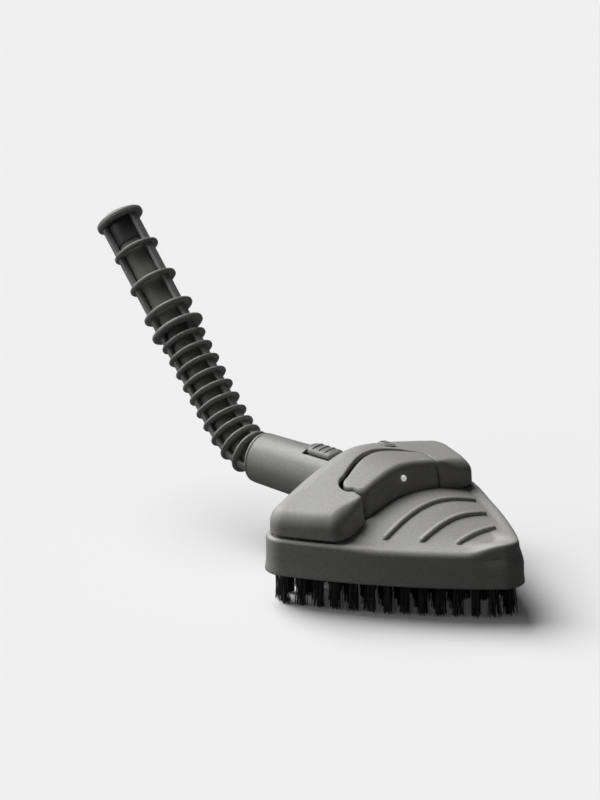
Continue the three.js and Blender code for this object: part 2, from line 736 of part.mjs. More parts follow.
function brushPlate() {
  const high = PLATE_FOOT + PLATE_THICKNESS;
  const slab = prism(headOutline(SHELL_WALL + 0.5), PLATE_FOOT, high);
  const holes = PLATE_SCREWS.map(([x, y]) => disc(1.7, PLATE_FOOT - 1, high + 1, 12, x, y));
  return cut(slab, ...holes, disc(NOZZLE_RADIUS + CLEARANCE, PLATE_FOOT - 1, high + 1, 20, NOZZLE_X, 0));
}

// Screw pointing up, its head's underside resting at z = seat.
function screw(headRadius, shankRadius, seat, length) {
  return turned([[0, seat - 1.7], [headRadius * 0.7, seat - 1.7], [headRadius, seat - 0.9],
    [headRadius, seat], [shankRadius, seat], [shankRadius, seat + length - 1.5],
    [0.3, seat + length], [0, seat + length]], 8);
}

// ---------- neck ----------

function neckEnvelope(grow) {
  const flange = NECK_FLANGE_RADIUS + grow;
  const root = -NECK_ROOT_X;
  const profile = [[0, root - grow], [flange, root - grow], [flange, root + 2.5 + grow],
    [NECK_ROOT_RADIUS + grow, root + 2.5 + grow], [NECK_ROOT_RADIUS + grow, root + 22],
    [NECK_RADIUS + grow, -RIM_X - RIM_LIP], [0, -RIM_X - RIM_LIP]];
  return alongNeck(turned(profile, 32), 0);
}

function neckTube() {
  const bore = alongNeck(disc(NECK_BORE, -SPIGOT_X, -RIM_X + 5, 32), 0);
  const rootBore = alongNeck(disc(SPIGOT_RADIUS + CLEARANCE, -NECK_ROOT_X - 5, -SPIGOT_X + 5, 20), 0);
  const slot = box(BUTTON.x - BUTTON.length / 2 - CLEARANCE, BUTTON.x + BUTTON.length / 2 + CLEARANCE,
    -BUTTON.halfWidth - CLEARANCE, BUTTON.halfWidth + CLEARANCE, BUTTON_FLOOR, NECK_Z + 30);
  return cut(neckEnvelope(0), bore, rootBore, slot);
}

function rimRing() {
  const low = -RIM_X - RIM_LIP + CLEARANCE;
  return alongNeck(ring(NECK_BORE, NECK_RADIUS - 0.2, low, -RIM_X, 32), 0);
}

// Spigot that carries the hose's lower end, held in the neck's root.
function hoseSpigot() {
  const end = -SPIGOT_X;
  return alongNeck(turned([[2.2, SPIGOT_ROOT], [SPIGOT_RADIUS, SPIGOT_ROOT], [SPIGOT_RADIUS, end + 1],
    [BARB_RADIUS, end + 1], [BARB_RADIUS, end + 16], [BARB_RADIUS - 1, end + 18],
    [2.2, end + 18], [2.2, SPIGOT_ROOT]], 16), 0);
}

function releaseButton() {
  const { x, length, halfWidth, height } = BUTTON;
  const low = BUTTON_FLOOR + BUTTON_SPRING_HEIGHT;
  const high = NECK_Z + NECK_ROOT_RADIUS + height - 1;
  const outline = new THREE.Shape();
  outline.moveTo(x + length / 2, -halfWidth);
  outline.lineTo(x + length / 2, halfWidth);
  outline.lineTo(x - length / 2 + halfWidth, halfWidth);
  outline.absarc(x - length / 2 + halfWidth, 0, halfWidth, Math.PI / 2, 1.5 * Math.PI, false);
  const slab = moved(new THREE.ExtrudeGeometry(outline, {
    depth: high - low,
    bevelEnabled: false,
    curveSegments: 6,
  }), 0, 0, low);
  const crown = (radius) => moved(new THREE.CylinderGeometry(radius, radius, length + 4, 40)
    .rotateZ(Math.PI / 2), x, 0, NECK_Z - 1);
  const ridges = [-1, 0, 1].map((place) => {
    const middle = x + place * BUTTON.ridgePitch;
    const bar = box(middle - 1, middle + 1, -halfWidth * 0.72, halfWidth * 0.72, high - 3, high + 0.9);
    return common(bar, crown(NECK_ROOT_RADIUS + height + 0.8));
  });
  return join(common(slab, crown(NECK_ROOT_RADIUS + height)), ...ridges);
}

// ---------- flexible boot ----------

function bootDirection(bend) {
  const up = new THREE.Vector3(0, Math.sin(BEND_ROLL), Math.cos(BEND_ROLL));
  return new THREE.Vector3(-Math.cos(bend), 0, 0).addScaledVector(up, Math.sin(bend));
}

// Places along the boot: one for each ring, with its middle, direction and the pivot of the gap before it.
function bootPlaces() {
  const steps = [FIRST_GAP, ...Array(THIN_RINGS - 1).fill(RING_PITCH), ...CUFF_RINGS.map(({ step }) => step)];
  const middle = new THREE.Vector3(RIM_X, 0, NECK_Z);
  let bend = 0;
  return steps.map((step, index) => {
    middle.addScaledVector(bootDirection(bend), step / 2);
    const pivot = middle.clone();
    bend += THREE.MathUtils.degToRad(REST_BENDS[index] ?? 0);
    middle.addScaledVector(bootDirection(bend), step / 2);
    return { pivot, middle: middle.clone(), direction: bootDirection(bend) };
  });
}

// Turns a shape made along +Z to stand at one of the boot's places, its +X along the hinge axis.
function place(mesh, { middle, direction }) {
  const hinge = new THREE.Vector3(0, Math.cos(BEND_ROLL), -Math.sin(BEND_ROLL));
  const across = new THREE.Vector3().crossVectors(direction, hinge);
  mesh.quaternion.setFromRotationMatrix(new THREE.Matrix4().makeBasis(hinge, across, direction));
  mesh.position.copy(middle);
  return mesh;
}

function struts(low, high) {
  return Array.from({ length: STRUTS }, (_, index) => {
    const middle = STRUT_TURN + (2 * Math.PI * index) / STRUTS;
    const section = new THREE.Shape();
    section.absarc(0, 0, CAGE_RADIUS, middle - STRUT_ARC / 2, middle + STRUT_ARC / 2, false);
    section.absarc(0, 0, CAGE_BORE, middle + STRUT_ARC / 2, middle - STRUT_ARC / 2, true);
    const bar = new THREE.ExtrudeGeometry(section, {
      depth: high - low,
      bevelEnabled: false,
      curveSegments: 1,
    });
    return moved(bar, 0, 0, low);
  });
}

function thinRing() {
  const { radius, thickness } = THIN_RING;
  const half = thickness / 2;
  const band = ring(CAGE_BORE, radius, -half, half, 16);
  return join(band, ...struts(half - 0.4, half + STUB));
}

function bootCuff() {
  const bands = [];
  let z = 0;
  CUFF_RINGS.forEach(({ step, radius, thickness }, index) => {
    z += index === 0 ? 0 : step;
    bands.push(ring(CAGE_BORE, radius, z - thickness / 2, z + thickness / 2, 16));
  });
  return join(bands[0], ...bands.slice(1), ...struts(0, z));
}

function bootBase() {
  const inner = -RIM_X - BASE_DEPTH;
  return alongNeck(ring(CAGE_BORE, NECK_BORE - CLEARANCE, inner, -RIM_X + 0.8, 28), 0);
}

function swivelSeal() {
  const low = -RIM_X - BASE_DEPTH - CLEARANCE - 2.2;
  return alongNeck(ring(CAGE_BORE, NECK_BORE - CLEARANCE, low, low + 2.2, 24), 0);
}

function hosePoints(places) {
  const last = places[places.length - 1];
  const start = new THREE.Vector3(SPIGOT_X - 1 - CLEARANCE, 0, NECK_Z);
  const points = [start, new THREE.Vector3(-90, 0, NECK_Z), new THREE.Vector3(RIM_X, 0, NECK_Z)];
  places.slice(0, -1).forEach(({ middle }) => points.push(middle));
  points.push(last.middle.clone().addScaledVector(last.direction, -COUPLING_DEPTH - CLEARANCE));
  return points;
}

// Socket at the cuff's end, fixed on the end of the hose.
function hoseCoupling() {
  const flange = CUFF_RINGS[CUFF_RINGS.length - 1].thickness / 2;
  const outer = CAGE_BORE - CLEARANCE;
  return ring(COUPLING_BORE, outer, -COUPLING_DEPTH, flange + 1.5, 24);
}

// ---------- assembly ----------

function material(colour, roughness = 0.6, metalness = 0) {
  return new THREE.MeshStandardMaterial({ color: colour, roughness, metalness });
}

const MATERIALS = {
  shell: material(COLOURS.shell, 0.62),
  lever: material(COLOURS.lever, 0.6),
  neck: material(COLOURS.neck, 0.55),
  boot: material(COLOURS.boot, 0.65),
  hose: material(COLOURS.hose, 0.7),
  bristle: material(COLOURS.bristle, 0.5),
  plate: material(COLOURS.plate, 0.6),
  steel: material(COLOURS.steel, 0.3, 1),
  brass: material(COLOURS.brass, 0.35, 1),
  rubber: material(COLOURS.rubber, 0.8),
  white: material(COLOURS.white, 0.4),
};

const part = new THREE.Group();

function add(name, geometry, materialName) {
  const mesh = new THREE.Mesh(geometry, MATERIALS[materialName]);
  mesh.name = name;
  part.add(mesh);
  return mesh;
}

add('base_shell', baseShell(), 'shell');
add('upper_cover', upperCover(), 'shell');
add('brush_plate', brushPlate(), 'plate');
add('bristle_field', bristleField(), 'bristle');
add('steam_nozzle', steamNozzle(), 'brass');
PLATE_SCREWS.forEach(([x, y], index) => {
  const geometry = screw(SCREW_HEAD, 1.2, PLATE_FOOT - CLEARANCE, 12);
  add(`plate_screw_${index + 1}`, geometry, 'steel').position.set(x, y, 0);
});
COVER_SCREWS.forEach(([x, y], index) => {
  const geometry = screw(SCREW_HEAD, 1.1, SKIRT_TOP - SHELL_WALL - CLEARANCE, 11);
  add(`cover_screw_${index + 1}`, geometry, 'steel').position.set(x, y, 0);
});

add('trigger_lever', triggerLever(), 'lever');
add('lever_lock', leverLock(), 'lever');
add('indicator_dot', indicator(0), 'white');
add('lever_pin', new THREE.CylinderGeometry(PIN_RADIUS, PIN_RADIUS, 2 * PIN_HALF_LENGTH, 12), 'steel')
  .position.set(PIVOT.x, 0, PIVOT.z);
add('valve_body', valveBody(), 'brass');
add('valve_plunger', plunger(), 'steel');
add('valve_spring', coilSpring(2.8, 0.35, VALVE_FOOT + VALVE_HEIGHT + CLEARANCE,
  PLUNGER_TOP - CAP_HEIGHT - CLEARANCE, 3, 30), 'steel')
  .position.set(VALVE_X, 0, 0);
add('steam_pipe', steamPipe(), 'brass');
add('outlet_elbow', outletElbow(), 'brass');

add('neck_tube', neckTube(), 'neck');
add('rim_ring', rimRing(), 'neck');
add('hose_spigot', hoseSpigot(), 'brass');
add('release_button', releaseButton(), 'lever');
add('button_spring', coilSpring(3, 0.35, BUTTON_FLOOR + CLEARANCE,
  BUTTON_FLOOR + BUTTON_SPRING_HEIGHT - CLEARANCE, 2, 18), 'steel')
  .position.set(BUTTON.x, 0, 0);

const places = bootPlaces();
const cuffPlace = places[THIN_RINGS];
add('boot_base', bootBase(), 'boot');
add('swivel_seal', swivelSeal(), 'rubber');
for (let index = 0; index < THIN_RINGS; index += 1) {
  const name = `boot_ring_${String(index + 1).padStart(2, '0')}`;
  place(add(name, thinRing(), 'boot'), places[index]);
}
place(add('boot_cuff', bootCuff(), 'boot'), cuffPlace);
add('steam_hose', hollowTube(hosePoints(places), HOSE_RADIUS, HOSE_BORE, 28, 4), 'hose');
place(add('hose_coupling', hoseCoupling(), 'rubber'), places[places.length - 1]);

export default part;
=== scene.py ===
import json
import math

import bmesh
import bpy
import numpy as np
from mathutils import Matrix, Vector
from mathutils.geometry import delaunay_2d_cdt


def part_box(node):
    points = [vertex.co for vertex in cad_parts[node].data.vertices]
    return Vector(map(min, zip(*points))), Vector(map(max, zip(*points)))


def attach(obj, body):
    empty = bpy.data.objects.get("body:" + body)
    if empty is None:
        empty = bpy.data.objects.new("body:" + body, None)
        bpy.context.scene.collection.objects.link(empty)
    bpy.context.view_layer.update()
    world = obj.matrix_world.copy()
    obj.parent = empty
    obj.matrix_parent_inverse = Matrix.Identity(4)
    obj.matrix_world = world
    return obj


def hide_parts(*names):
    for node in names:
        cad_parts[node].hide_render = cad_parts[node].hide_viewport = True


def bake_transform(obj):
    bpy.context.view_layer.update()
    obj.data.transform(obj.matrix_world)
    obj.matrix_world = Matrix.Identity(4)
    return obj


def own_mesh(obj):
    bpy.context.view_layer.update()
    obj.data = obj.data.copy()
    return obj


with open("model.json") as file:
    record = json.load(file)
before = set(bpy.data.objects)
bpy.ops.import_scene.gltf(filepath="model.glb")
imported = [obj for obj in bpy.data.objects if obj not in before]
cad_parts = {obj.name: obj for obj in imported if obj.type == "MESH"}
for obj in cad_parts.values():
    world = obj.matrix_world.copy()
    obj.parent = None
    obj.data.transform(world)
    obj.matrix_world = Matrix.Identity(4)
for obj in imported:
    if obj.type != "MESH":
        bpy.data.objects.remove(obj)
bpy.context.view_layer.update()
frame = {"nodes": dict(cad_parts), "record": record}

bl_info = {
    "name": "Triangular Brush Head",
    "version": (1, 0, 0),
    "blender": (4, 5, 0),
    "location": "View3D > Sidebar > Brush Head",
    "description": "Builds a triangular steam brush head with its neck and flexible hose boot",
    "category": "Add Mesh",
}

# Lengths below are in millimetres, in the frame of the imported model, and angles in degrees.
MM = 0.001


def node_top(node):
    """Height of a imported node's highest point, in millimetres."""
    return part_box(node)[1][2] / MM


def node_foot(node):
    """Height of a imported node's lowest point, in millimetres."""
    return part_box(node)[0][2] / MM


# Plan of the head: a triangle with bulging sides and round corners, its nose at +X.
HALF_WIDTH = 80
PLAN_LENGTH = 129
SIDE_BULGE = 8
CORNER_RADIUS = 12

SKIRT_FOOT = node_foot("base_shell")
SKIRT_TOP = SKIRT_FOOT + 21.4
SHELL_WALL = 2.4
# Inset from the plan and height above the foot, up the skirt's inside, round its foot and up its outside.
SKIRT_PROFILE = ((SHELL_WALL, 8), (SHELL_WALL - 0.3, 0.5), (1.6, 0), (-0.1, 0), (-0.55, 0.35), (-0.6, 1.2),
                 (-0.25, 3.5), (0, 6.5), (0, 10), (0, 12))
NOSE_START = 60
NOSE_RUN = 18
NOSE_SCOOP = 2.8
LIP_REACH = 15
# The deck is flat and sunk from here back, under the cover.
RECESS_X = -5.5
RECESS_RUN = 3
RECESS_DEPTH = 1.7
EDGE_STEPS = 8
DECK_REAR_X = -3
DECK_FRONT_X = 62
DECK_CREST = 11.4
DECK_MARGIN = 10.5
# Middle, half length and bow of each rib on the deck.
DECK_RIBS = ((15.2, 39.5, 1.6), (32.4, 28.4, 0.8), (49.0, 16.5, 0.4))

COVER_INSET = 2.2
COVER_FOOT = node_foot("upper_cover")
COVER_WALL = 2.3
COVER_GAP = 1
COVER_CORNER = 8
COVER_EDGE = 7
GATE_CORNER = 3
ROOF_CREST = SKIRT_FOOT + 52.2
ROOF_CREST_X = -38
ROOF_FALL = {"front": 0.1, "rear": 0.3, "side": 0.28}
ROOF_RIDGE = 15
ARM_LEAN = 0.18

LEVER_HALF_WIDTH = 33.5
LEVER_BACK_X = -28.5
LEVER_END_X = -15.5
LEVER_END_RADIUS = 7
LEVER_GROOVE = 2.9
CLOSED_GROOVE = 0.45
LEVER_FRONT_X = -3.4
LEVER_LEAN = 0.27
LEVER_WALL = 2.2
LEVER_CORNER = 4.5
LEVER_EDGE = 1.3
PIVOT = Vector((-21.5, 0, SKIRT_FOOT + 43))
PIN_RADIUS = 1.2
EAR_HALF = 2.3
EAR_REACH = (12, 15)
LUG_REACH = (15.8, 19.4)
DOT_SIZE = (1.7, 1.6, 1.9)
DOT_PLACE = (1.5, SKIRT_FOOT + 42.2)
LOCK = {"x": -35.4, "y": 22, "length": 10.4, "half_width": 4.3, "travel": 2, "proud": 0.7, "flange": 1.4,
        "room": 2.4, "pitch": 2.6}

PLATE_FOOT = node_foot("brush_plate")
TUFT_PITCH = 9.8
TUFT_INSET = 7
TUFT_RADIUS = 2.8
TUFT_DEPTH = 0.8
PLATE_SCREWS = ((52, 0), (-26, 44), (-26, -44))
SCREW_ROOM = 6.5
COVER_SCREWS = ((-12, 44), (-12, -44), (-36, 60), (-36, -60))
NOZZLE_X = -19.6
NOZZLE_RADIUS = 7
JETS = 5
JET_RADIUS = 0.7
JET_CIRCLE = 3

NECK_Z = SKIRT_FOOT + 28
NECK_RADIUS = 14.5
NECK_ROOT_RADIUS = 15.6
NECK_BORE = 11.9
NECK_ROOT_X = -38.5
NECK_FLANGE_RADIUS = 18
NECK_FLANGE_DEPTH = 2.5
NECK_ROOT_LENGTH = 22
RIM_X = -110
RIM_LIP = 2
SPIGOT_X = -56
SPIGOT_RADIUS = 9
BUTTON = {"x": -63, "length": 20, "half_width": 6.5, "floor": NECK_Z + 12.2, "pitch": 4.4}

CLEARANCE = 0.3
CAGE_RADIUS = 11.7
CAGE_BORE = 9.6
COLLAR_DEPTH = 16
SEAL_DEPTH = 2.2
THIN_RINGS = 10
RING_RADIUS = 13.5
RING_THICKNESS = 2.3
HOSE_RADIUS = 8.6
HOSE_BORE = 6
STRUTS = 3
STRUT_ARC = math.radians(22)
STRUT_TURN = math.radians(26.6)
BEND_ROLL = math.radians(12.5)
FIRST_GAP = 8.5
RING_PITCH = 8.7
REST_BENDS = (18.5, 11.5, 8, 5.5)
# Stiff cuff: distance on from the ring before, outer radius, thickness.
CUFF_RINGS = ((8.2, 15.7, 3), (11.7, 15, 2.6), (19.7, 14.2, 2.6), (21.3, 13.5, 2.6), (21.3, 14, 4))
COUPLING_DEPTH = 16
COUPLING_BORE = 7

# Stage: places in metres, and for each sun the side it shines from and its width in degrees.
CAMERA_PLACE = (3.272156, -3.814953, 2.025778)
FLOOR_REACH = 12
KEY_SUN = ((-0.85, 0.05, 1), 46)
SIDE_SUN = ((-1, -0.85, 0.35), 60)


# ---------- settings ----------

class BrushFinish(bpy.types.PropertyGroup):
    """Colours and surface of the head."""

    shell: bpy.props.FloatVectorProperty(
        name="Shell", description="Colour of the base and the cover", subtype="COLOR",
        size=3, min=0, max=1, default=(0.36, 0.355, 0.345))
    lever: bpy.props.FloatVectorProperty(
        name="Lever", description="Colour of the trigger lever and its lock", subtype="COLOR",
        size=3, min=0, max=1, default=(0.33, 0.325, 0.315))
    neck: bpy.props.FloatVectorProperty(
        name="Neck", description="Colour of the neck tube", subtype="COLOR",
        size=3, min=0, max=1, default=(0.27, 0.268, 0.262))
    boot: bpy.props.FloatVectorProperty(
        name="Boot", description="Colour of the flexible boot", subtype="COLOR",
        size=3, min=0, max=1, default=(0.31, 0.307, 0.3))
    bristle: bpy.props.FloatVectorProperty(
        name="Bristles", description="Colour of the nylon filaments", subtype="COLOR",
        size=3, min=0, max=1, default=(0.075, 0.072, 0.07))
    grain: bpy.props.FloatProperty(
        name="Grain", description="Width of one pit of the moulded grain",
        min=0.0001, max=0.002, default=0.0007, unit="LENGTH")


class BrushSizes(bpy.types.PropertyGroup):
    """Sizes that may be changed without moving a joint."""

    rib_width: bpy.props.FloatProperty(
        name="Rib width", description="Width of one rib on the deck",
        min=0.001, max=0.006, default=0.004, unit="LENGTH")
    rib_height: bpy.props.FloatProperty(
        name="Rib height", description="Height of one rib above the deck",
        min=0.0003, max=0.003, default=0.0018, unit="LENGTH")
    nose_lip: bpy.props.FloatProperty(
        name="Nose lip", description="How far the deck's edge rises at the nose",
        min=0, max=0.006, default=0.0042, unit="LENGTH")
    filament: bpy.props.FloatProperty(
        name="Filament", description="Thickness of one bristle",
        min=0.0001, max=0.001, default=0.0005, unit="LENGTH")
    filaments: bpy.props.IntProperty(
        name="Filaments", description="Bristles in one tuft", min=4, max=60, default=46)


class BrushStudio(bpy.types.PropertyGroup):
    """Light and camera."""

    azimuth: bpy.props.FloatProperty(
        name="Azimuth", description="Direction the camera looks from",
        default=math.radians(41.31), unit="ROTATION", subtype="ANGLE")
    elevation: bpy.props.FloatProperty(
        name="Elevation", description="Height of the camera above the horizon",
        default=math.radians(20.88), unit="ROTATION", subtype="ANGLE")
    lens: bpy.props.FloatProperty(
        name="Lens", description="Focal length for a 36 mm frame", min=10, max=1000,
        default=437, unit="CAMERA")
    key: bpy.props.FloatProperty(
        name="Key light", description="Strength of the soft light overhead", min=0, max=20, default=3.8)
    side: bpy.props.FloatProperty(
        name="Side light", description="Strength of the soft light from the neck's side", min=0, max=20,
        default=1.0)
    fill: bpy.props.FloatProperty(
        name="Fill", description="Strength of the even light all round", min=0, max=5, default=0.035)


# ---------- plan outlines ----------

def plan_triangle():
    return (np.array((2 * PLAN_LENGTH / 3, 0.0)), np.array((-PLAN_LENGTH / 3, float(HALF_WIDTH))),
            np.array((-PLAN_LENGTH / 3, -float(HALF_WIDTH))))


def side_circles():
    """Centre and radius of the arc through each pair of the triangle's points."""
    points = plan_triangle()
    circles = []
    for index, start in enumerate(points):
        along = points[(index + 1) % 3] - start
        span = np.linalg.norm(along)
        radius = (span * span / 4 + SIDE_BULGE ** 2) / (2 * SIDE_BULGE)
        inward = np.array((-along[1], along[0])) / span
        circles.append((start + along / 2 + inward * (radius - SIDE_BULGE), radius))
    return circles


def circles_meeting(first, first_radius, second, second_radius, near):
    between = second - first
    span = np.linalg.norm(between)
    along = (span ** 2 + first_radius ** 2 - second_radius ** 2) / (2 * span)
    across = math.sqrt(first_radius ** 2 - along ** 2)
    unit = between / span
    foot = first + unit * along
    side = np.array((-unit[1], unit[0])) * across
    return min((foot + side, foot - side), key=lambda point: np.linalg.norm(point - near))


SIDES = side_circles()
CORNERS = [
    circles_meeting(SIDES[(index + 2) % 3][0], SIDES[(index + 2) % 3][1] - CORNER_RADIUS,
                    SIDES[index][0], SIDES[index][1] - CORNER_RADIUS, corner)
    for index, corner in enumerate(plan_triangle())
]


def arc_points(centre, radius, start, end, steps, keep_ends):
    first = math.atan2(start[1] - centre[1], start[0] - centre[0])
    last = math.atan2(end[1] - centre[1], end[0] - centre[0])
    if last < first - 1e-9:
        last += 2 * math.pi
    places = range(steps + 1) if keep_ends else range(1, steps)
    angles = [first + (last - first) * place / steps for place in places]
    return [centre + radius * np.array((math.cos(angle), math.sin(angle))) for angle in angles]


def tangent(circle, corner, radius):
    outward = corner - circle[0]
    return circle[0] + outward / np.linalg.norm(outward) * radius


def head_outline(inset, corner_steps=16, side_steps=46):
    points = []
    for index, corner in enumerate(CORNERS):
        before, after = SIDES[(index + 2) % 3], SIDES[index]
        following = CORNERS[(index + 1) % 3]
        first = tangent(before, corner, before[1] - inset)
        last = tangent(after, corner, after[1] - inset)
        end = tangent(after, following, after[1] - inset)
        points += arc_points(corner, CORNER_RADIUS - inset, first, last, corner_steps, True)
        points += arc_points(after[0], after[1] - inset, last, end, side_steps, False)
    return np.array(points)


def half_width_at(x):
    centre, radius = SIDES[0]
    return centre[1] + np.sqrt(radius ** 2 - (x - centre[0]) ** 2)


def side_normals(outline):
    """Outward unit normals of a closed outline that runs anticlockwise."""
    along = np.roll(outline, -1, axis=0) - np.roll(outline, 1, axis=0)
    along /= np.linalg.norm(along, axis=1)[:, None]
    return np.stack((along[:, 1], -along[:, 0]), axis=1)


def smooth(t):
    t = np.clip(t, 0, 1)
    return t * t * (3 - 2 * t)


def full_turn(count):
    """Angles of a whole turn in even steps."""
    return np.linspace(0, 2 * math.pi, count, endpoint=False)


def quarter_turn(steps):
    """Angles from nothing to a right angle in even steps, both ends included."""
    return [math.pi / 2 * step / steps for step in range(steps + 1)]


# ---------- surfaces ----------

def deck_height(x, y):
    along = np.clip((x - DECK_REAR_X) / (DECK_FRONT_X - DECK_REAR_X), 0, 1)
    across = np.minimum(np.abs(y) / (half_width_at(x) - DECK_MARGIN), 1)
    crest = DECK_CREST * np.cos(math.pi / 2 * along) ** 1.5
    return SKIRT_TOP + crest * np.cos(math.pi / 2 * across)


def past_cover(x):
    """Nothing under the cover and 1 in front of it."""
    return smooth((x - RECESS_X) / RECESS_RUN)


def deck_top(x, y):
    """The deck as built: crowned in front of the cover and flat under it."""
    return SKIRT_TOP + (deck_height(x, y) - SKIRT_TOP) * past_cover(x)


def roof_height(x, y):
    """The surface that the cover and the lever share, highest on the middle line."""
    forward = ROOF_FALL["front"] * np.maximum(x - ROOF_CREST_X, 0)
    backward = ROOF_FALL["rear"] * np.maximum(ROOF_CREST_X - x, 0)
    sideways = ROOF_FALL["side"] * (np.hypot(y, ROOF_RIDGE) - ROOF_RIDGE)
    return ROOF_CREST - (forward + backward) - sideways


def arm_lean(x, y, z):
    """How far an arm's front leans back; the one at +Y lies flush with the lever beside it."""
    plain = ARM_LEAN * (z - COVER_FOOT)
    flush = -LEVER_FRONT_X + LEVER_LEAN * np.maximum(z - SKIRT_TOP - DECK_CREST, 0)
    share = smooth(y / 10) * (1 - 0.35 * smooth((y - 40) / 20))
    return (plain + (flush - plain) * share) * smooth((x + 18) / 18)


def lever_lean(x, z):
    return LEVER_LEAN * np.maximum(z - SKIRT_TOP - DECK_CREST, 0) * smooth((x + 26) / 22)


# ---------- shapes ----------

class Shape:
    """Points in millimetres and faces of one piece, built ring by ring."""

    def __init__(self):
        self.points = []
        self.faces = []

    def ring(self, points):
        start = len(self.points)
        self.points += [tuple(float(c) for c in point) for point in points]
        return start, len(points)

    def strip(self, lower, upper):
        (a, count), (b, _) = lower, upper
        for i in range(count):
            j = (i + 1) % count
            self.faces.append((a + i, a + j, b + j, b + i))

    def rings(self, rings):
        made = [self.ring(points) for points in rings]
        for lower, upper in zip(made, made[1:]):
            self.strip(lower, upper)
        return made

    def solid(self, rings):
        """Joins rings in turn and closes both ends."""
        made = self.rings(rings)
        self.fan(made[0])
        self.fan(made[-1])
        return self

    def fan(self, ring):
        start, count = ring
        middle = len(self.points)
        self.points.append(tuple(np.mean(self.points[start:start + count], axis=0)))
        for i in range(count):
            self.faces.append((start + i, start + (i + 1) % count, middle))

    def fill(self, ring, spacing, lift):
        """Closes a ring with triangles over a grid of points that lift(x, y) puts in place."""
        start, count = ring
        border = np.array(self.points[start:start + count])[:, :2]
        inner = grid_inside(border, spacing)
        plan = [Vector(point) for point in np.concatenate((border, inner))]
        edges = [(i, (i + 1) % count) for i in range(count)]
        _, _, triangles, origins, _, _ = delaunay_2d_cdt(plan, edges, [], 1, 1e-9)
        first_inner = len(self.points)
        self.points += [tuple(float(c) for c in lift(x, y)) for x, y in inner]
        names = [(start + ids[0] if ids[0] < count else first_inner + ids[0] - count) for ids in origins]
        self.faces += [tuple(names[corner] for corner in triangle) for triangle in triangles]

    def add(self, other, matrix=Matrix.Identity(4)):
        start = len(self.points)
        self.points += [tuple(matrix @ Vector(point)) for point in other.points]
        self.faces += [tuple(start + corner for corner in face) for face in other.faces]
        return self


def grid_inside(border, spacing):
    low, high = border.min(axis=0), border.max(axis=0)
    xs, ys = np.meshgrid(np.arange(low[0], high[0], spacing), np.arange(low[1], high[1], spacing))
    points = np.stack((xs.ravel() + spacing / 3, ys.ravel() + spacing / 3), axis=1)
    a, b = border, np.roll(border, -1, axis=0)
    straddles = (a[None, :, 1] > points[:, None, 1]) != (b[None, :, 1] > points[:, None, 1])
    rise = np.where(np.abs(b[:, 1] - a[:, 1]) < 1e-9, 1e-9, b[:, 1] - a[:, 1])
    crossing = a[None, :, 0] + (points[:, None, 1] - a[None, :, 1]) * (b[:, 0] - a[:, 0]) / rise
    inside = (straddles & (points[:, None, 0] < crossing)).sum(axis=1) % 2 == 1
    apart = np.linalg.norm(points[:, None, :] - border[None, :, :], axis=2).min(axis=1)
    return points[inside & (apart > spacing * 0.6)]


def rounded(profile, radius, steps=3):
    """A closed profile with its corners rounded; a corner on the axis stays sharp."""
    points = [np.array(point, float) for point in profile]
    made = []
    for index, corner in enumerate(points):
        before, after = points[index - 1], points[(index + 1) % len(points)]
        if corner[0] < 1e-6:
            made.append(corner)
            continue
        reach = min(radius, np.linalg.norm(before - corner) * 0.45, np.linalg.norm(after - corner) * 0.45)
        enter = corner + (before - corner) / np.linalg.norm(before - corner) * reach
        leave = corner + (after - corner) / np.linalg.norm(after - corner) * reach
        for step in range(steps + 1):
            t = step / steps
            made.append(enter * (1 - t) ** 2 + corner * 2 * t * (1 - t) + leave * t * t)
    return made


def lathe(profile, segments=48, radius=0.4, steps=3):
    """Solid of revolution about Z from a closed profile of radius and height."""
    shape = Shape()
    outline = rounded(profile, radius, steps)
    angles = full_turn(segments)
    rings = []
    for r, z in outline:
        if r < 1e-6:
            shape.points.append((0, 0, z))
            rings.append((len(shape.points) - 1, 1))
        else:
            rings.append(shape.ring([(r * math.cos(a), r * math.sin(a), z) for a in angles]))
    for lower, upper in zip(rings, rings[1:] + rings[:1]):
        if lower[1] == 1 and upper[1] == 1:
            continue
        if lower[1] > 1 and upper[1] > 1:
            shape.strip(lower, upper)
            continue
        pole, ring = (lower, upper) if lower[1] == 1 else (upper, lower)
        for i in range(ring[1]):
            shape.faces.append((ring[0] + i, ring[0] + (i + 1) % ring[1], pole[0]))
    return shape


def tube_band(inner, outer, low, high, segments=48, radius=0.4):
    return lathe([(inner, low), (outer, low), (outer, high), (inner, high)], segments, radius)


def slab(outline, low, top, edge, steps=5, spacing=3.0):
    """Upright slab over an outline, its top at top(x, y) with a rounded edge."""
    shape = Shape()
    normals = side_normals(outline)
    rings = [np.column_stack((outline, np.full(len(outline), low)))]
    for turn in quarter_turn(steps):
        plan = outline - normals * edge * (1 - math.cos(turn))
        rings.append(np.column_stack((plan, top(plan[:, 0], plan[:, 1]) - edge * (1 - math.sin(turn)))))
    made = shape.rings(rings)
    shape.fan(made[0])
    shape.fill(made[-1], spacing, lambda x, y: (x, y, top(x, y)))
    return shape


def bead(centres, half_width, height, up=Vector((0, 0, 1))):
    """Rounded bar along a line of points, tapering to round ends, half sunk in what it lies on."""
    lengths = np.cumsum([0] + [(b - a).length for a, b in zip(centres, centres[1:])])
    rings = []
    for index, centre in enumerate(centres):
        ahead = centres[min(index + 1, len(centres) - 1)] - centres[max(index - 1, 0)]
        side = ahead.cross(up).normalized()
        reach = min(lengths[index], lengths[-1] - lengths[index])
        share = math.sqrt(max(1 - max(1 - reach / half_width, 0) ** 2, 0.02))
        rings.append([centre + side * half_width * share * math.cos(a) + up * height * share * math.sin(a)
                      for a in full_turn(12)])
    return Shape().solid(rings)


def prism(outline, low, high):
    return Shape().solid([np.column_stack((outline, np.full(len(outline), z))) for z in (low, high)])


def disc(x, y, radius):
    angles = full_turn(32)
    return np.column_stack((x + radius * np.cos(angles), y + radius * np.sin(angles)))


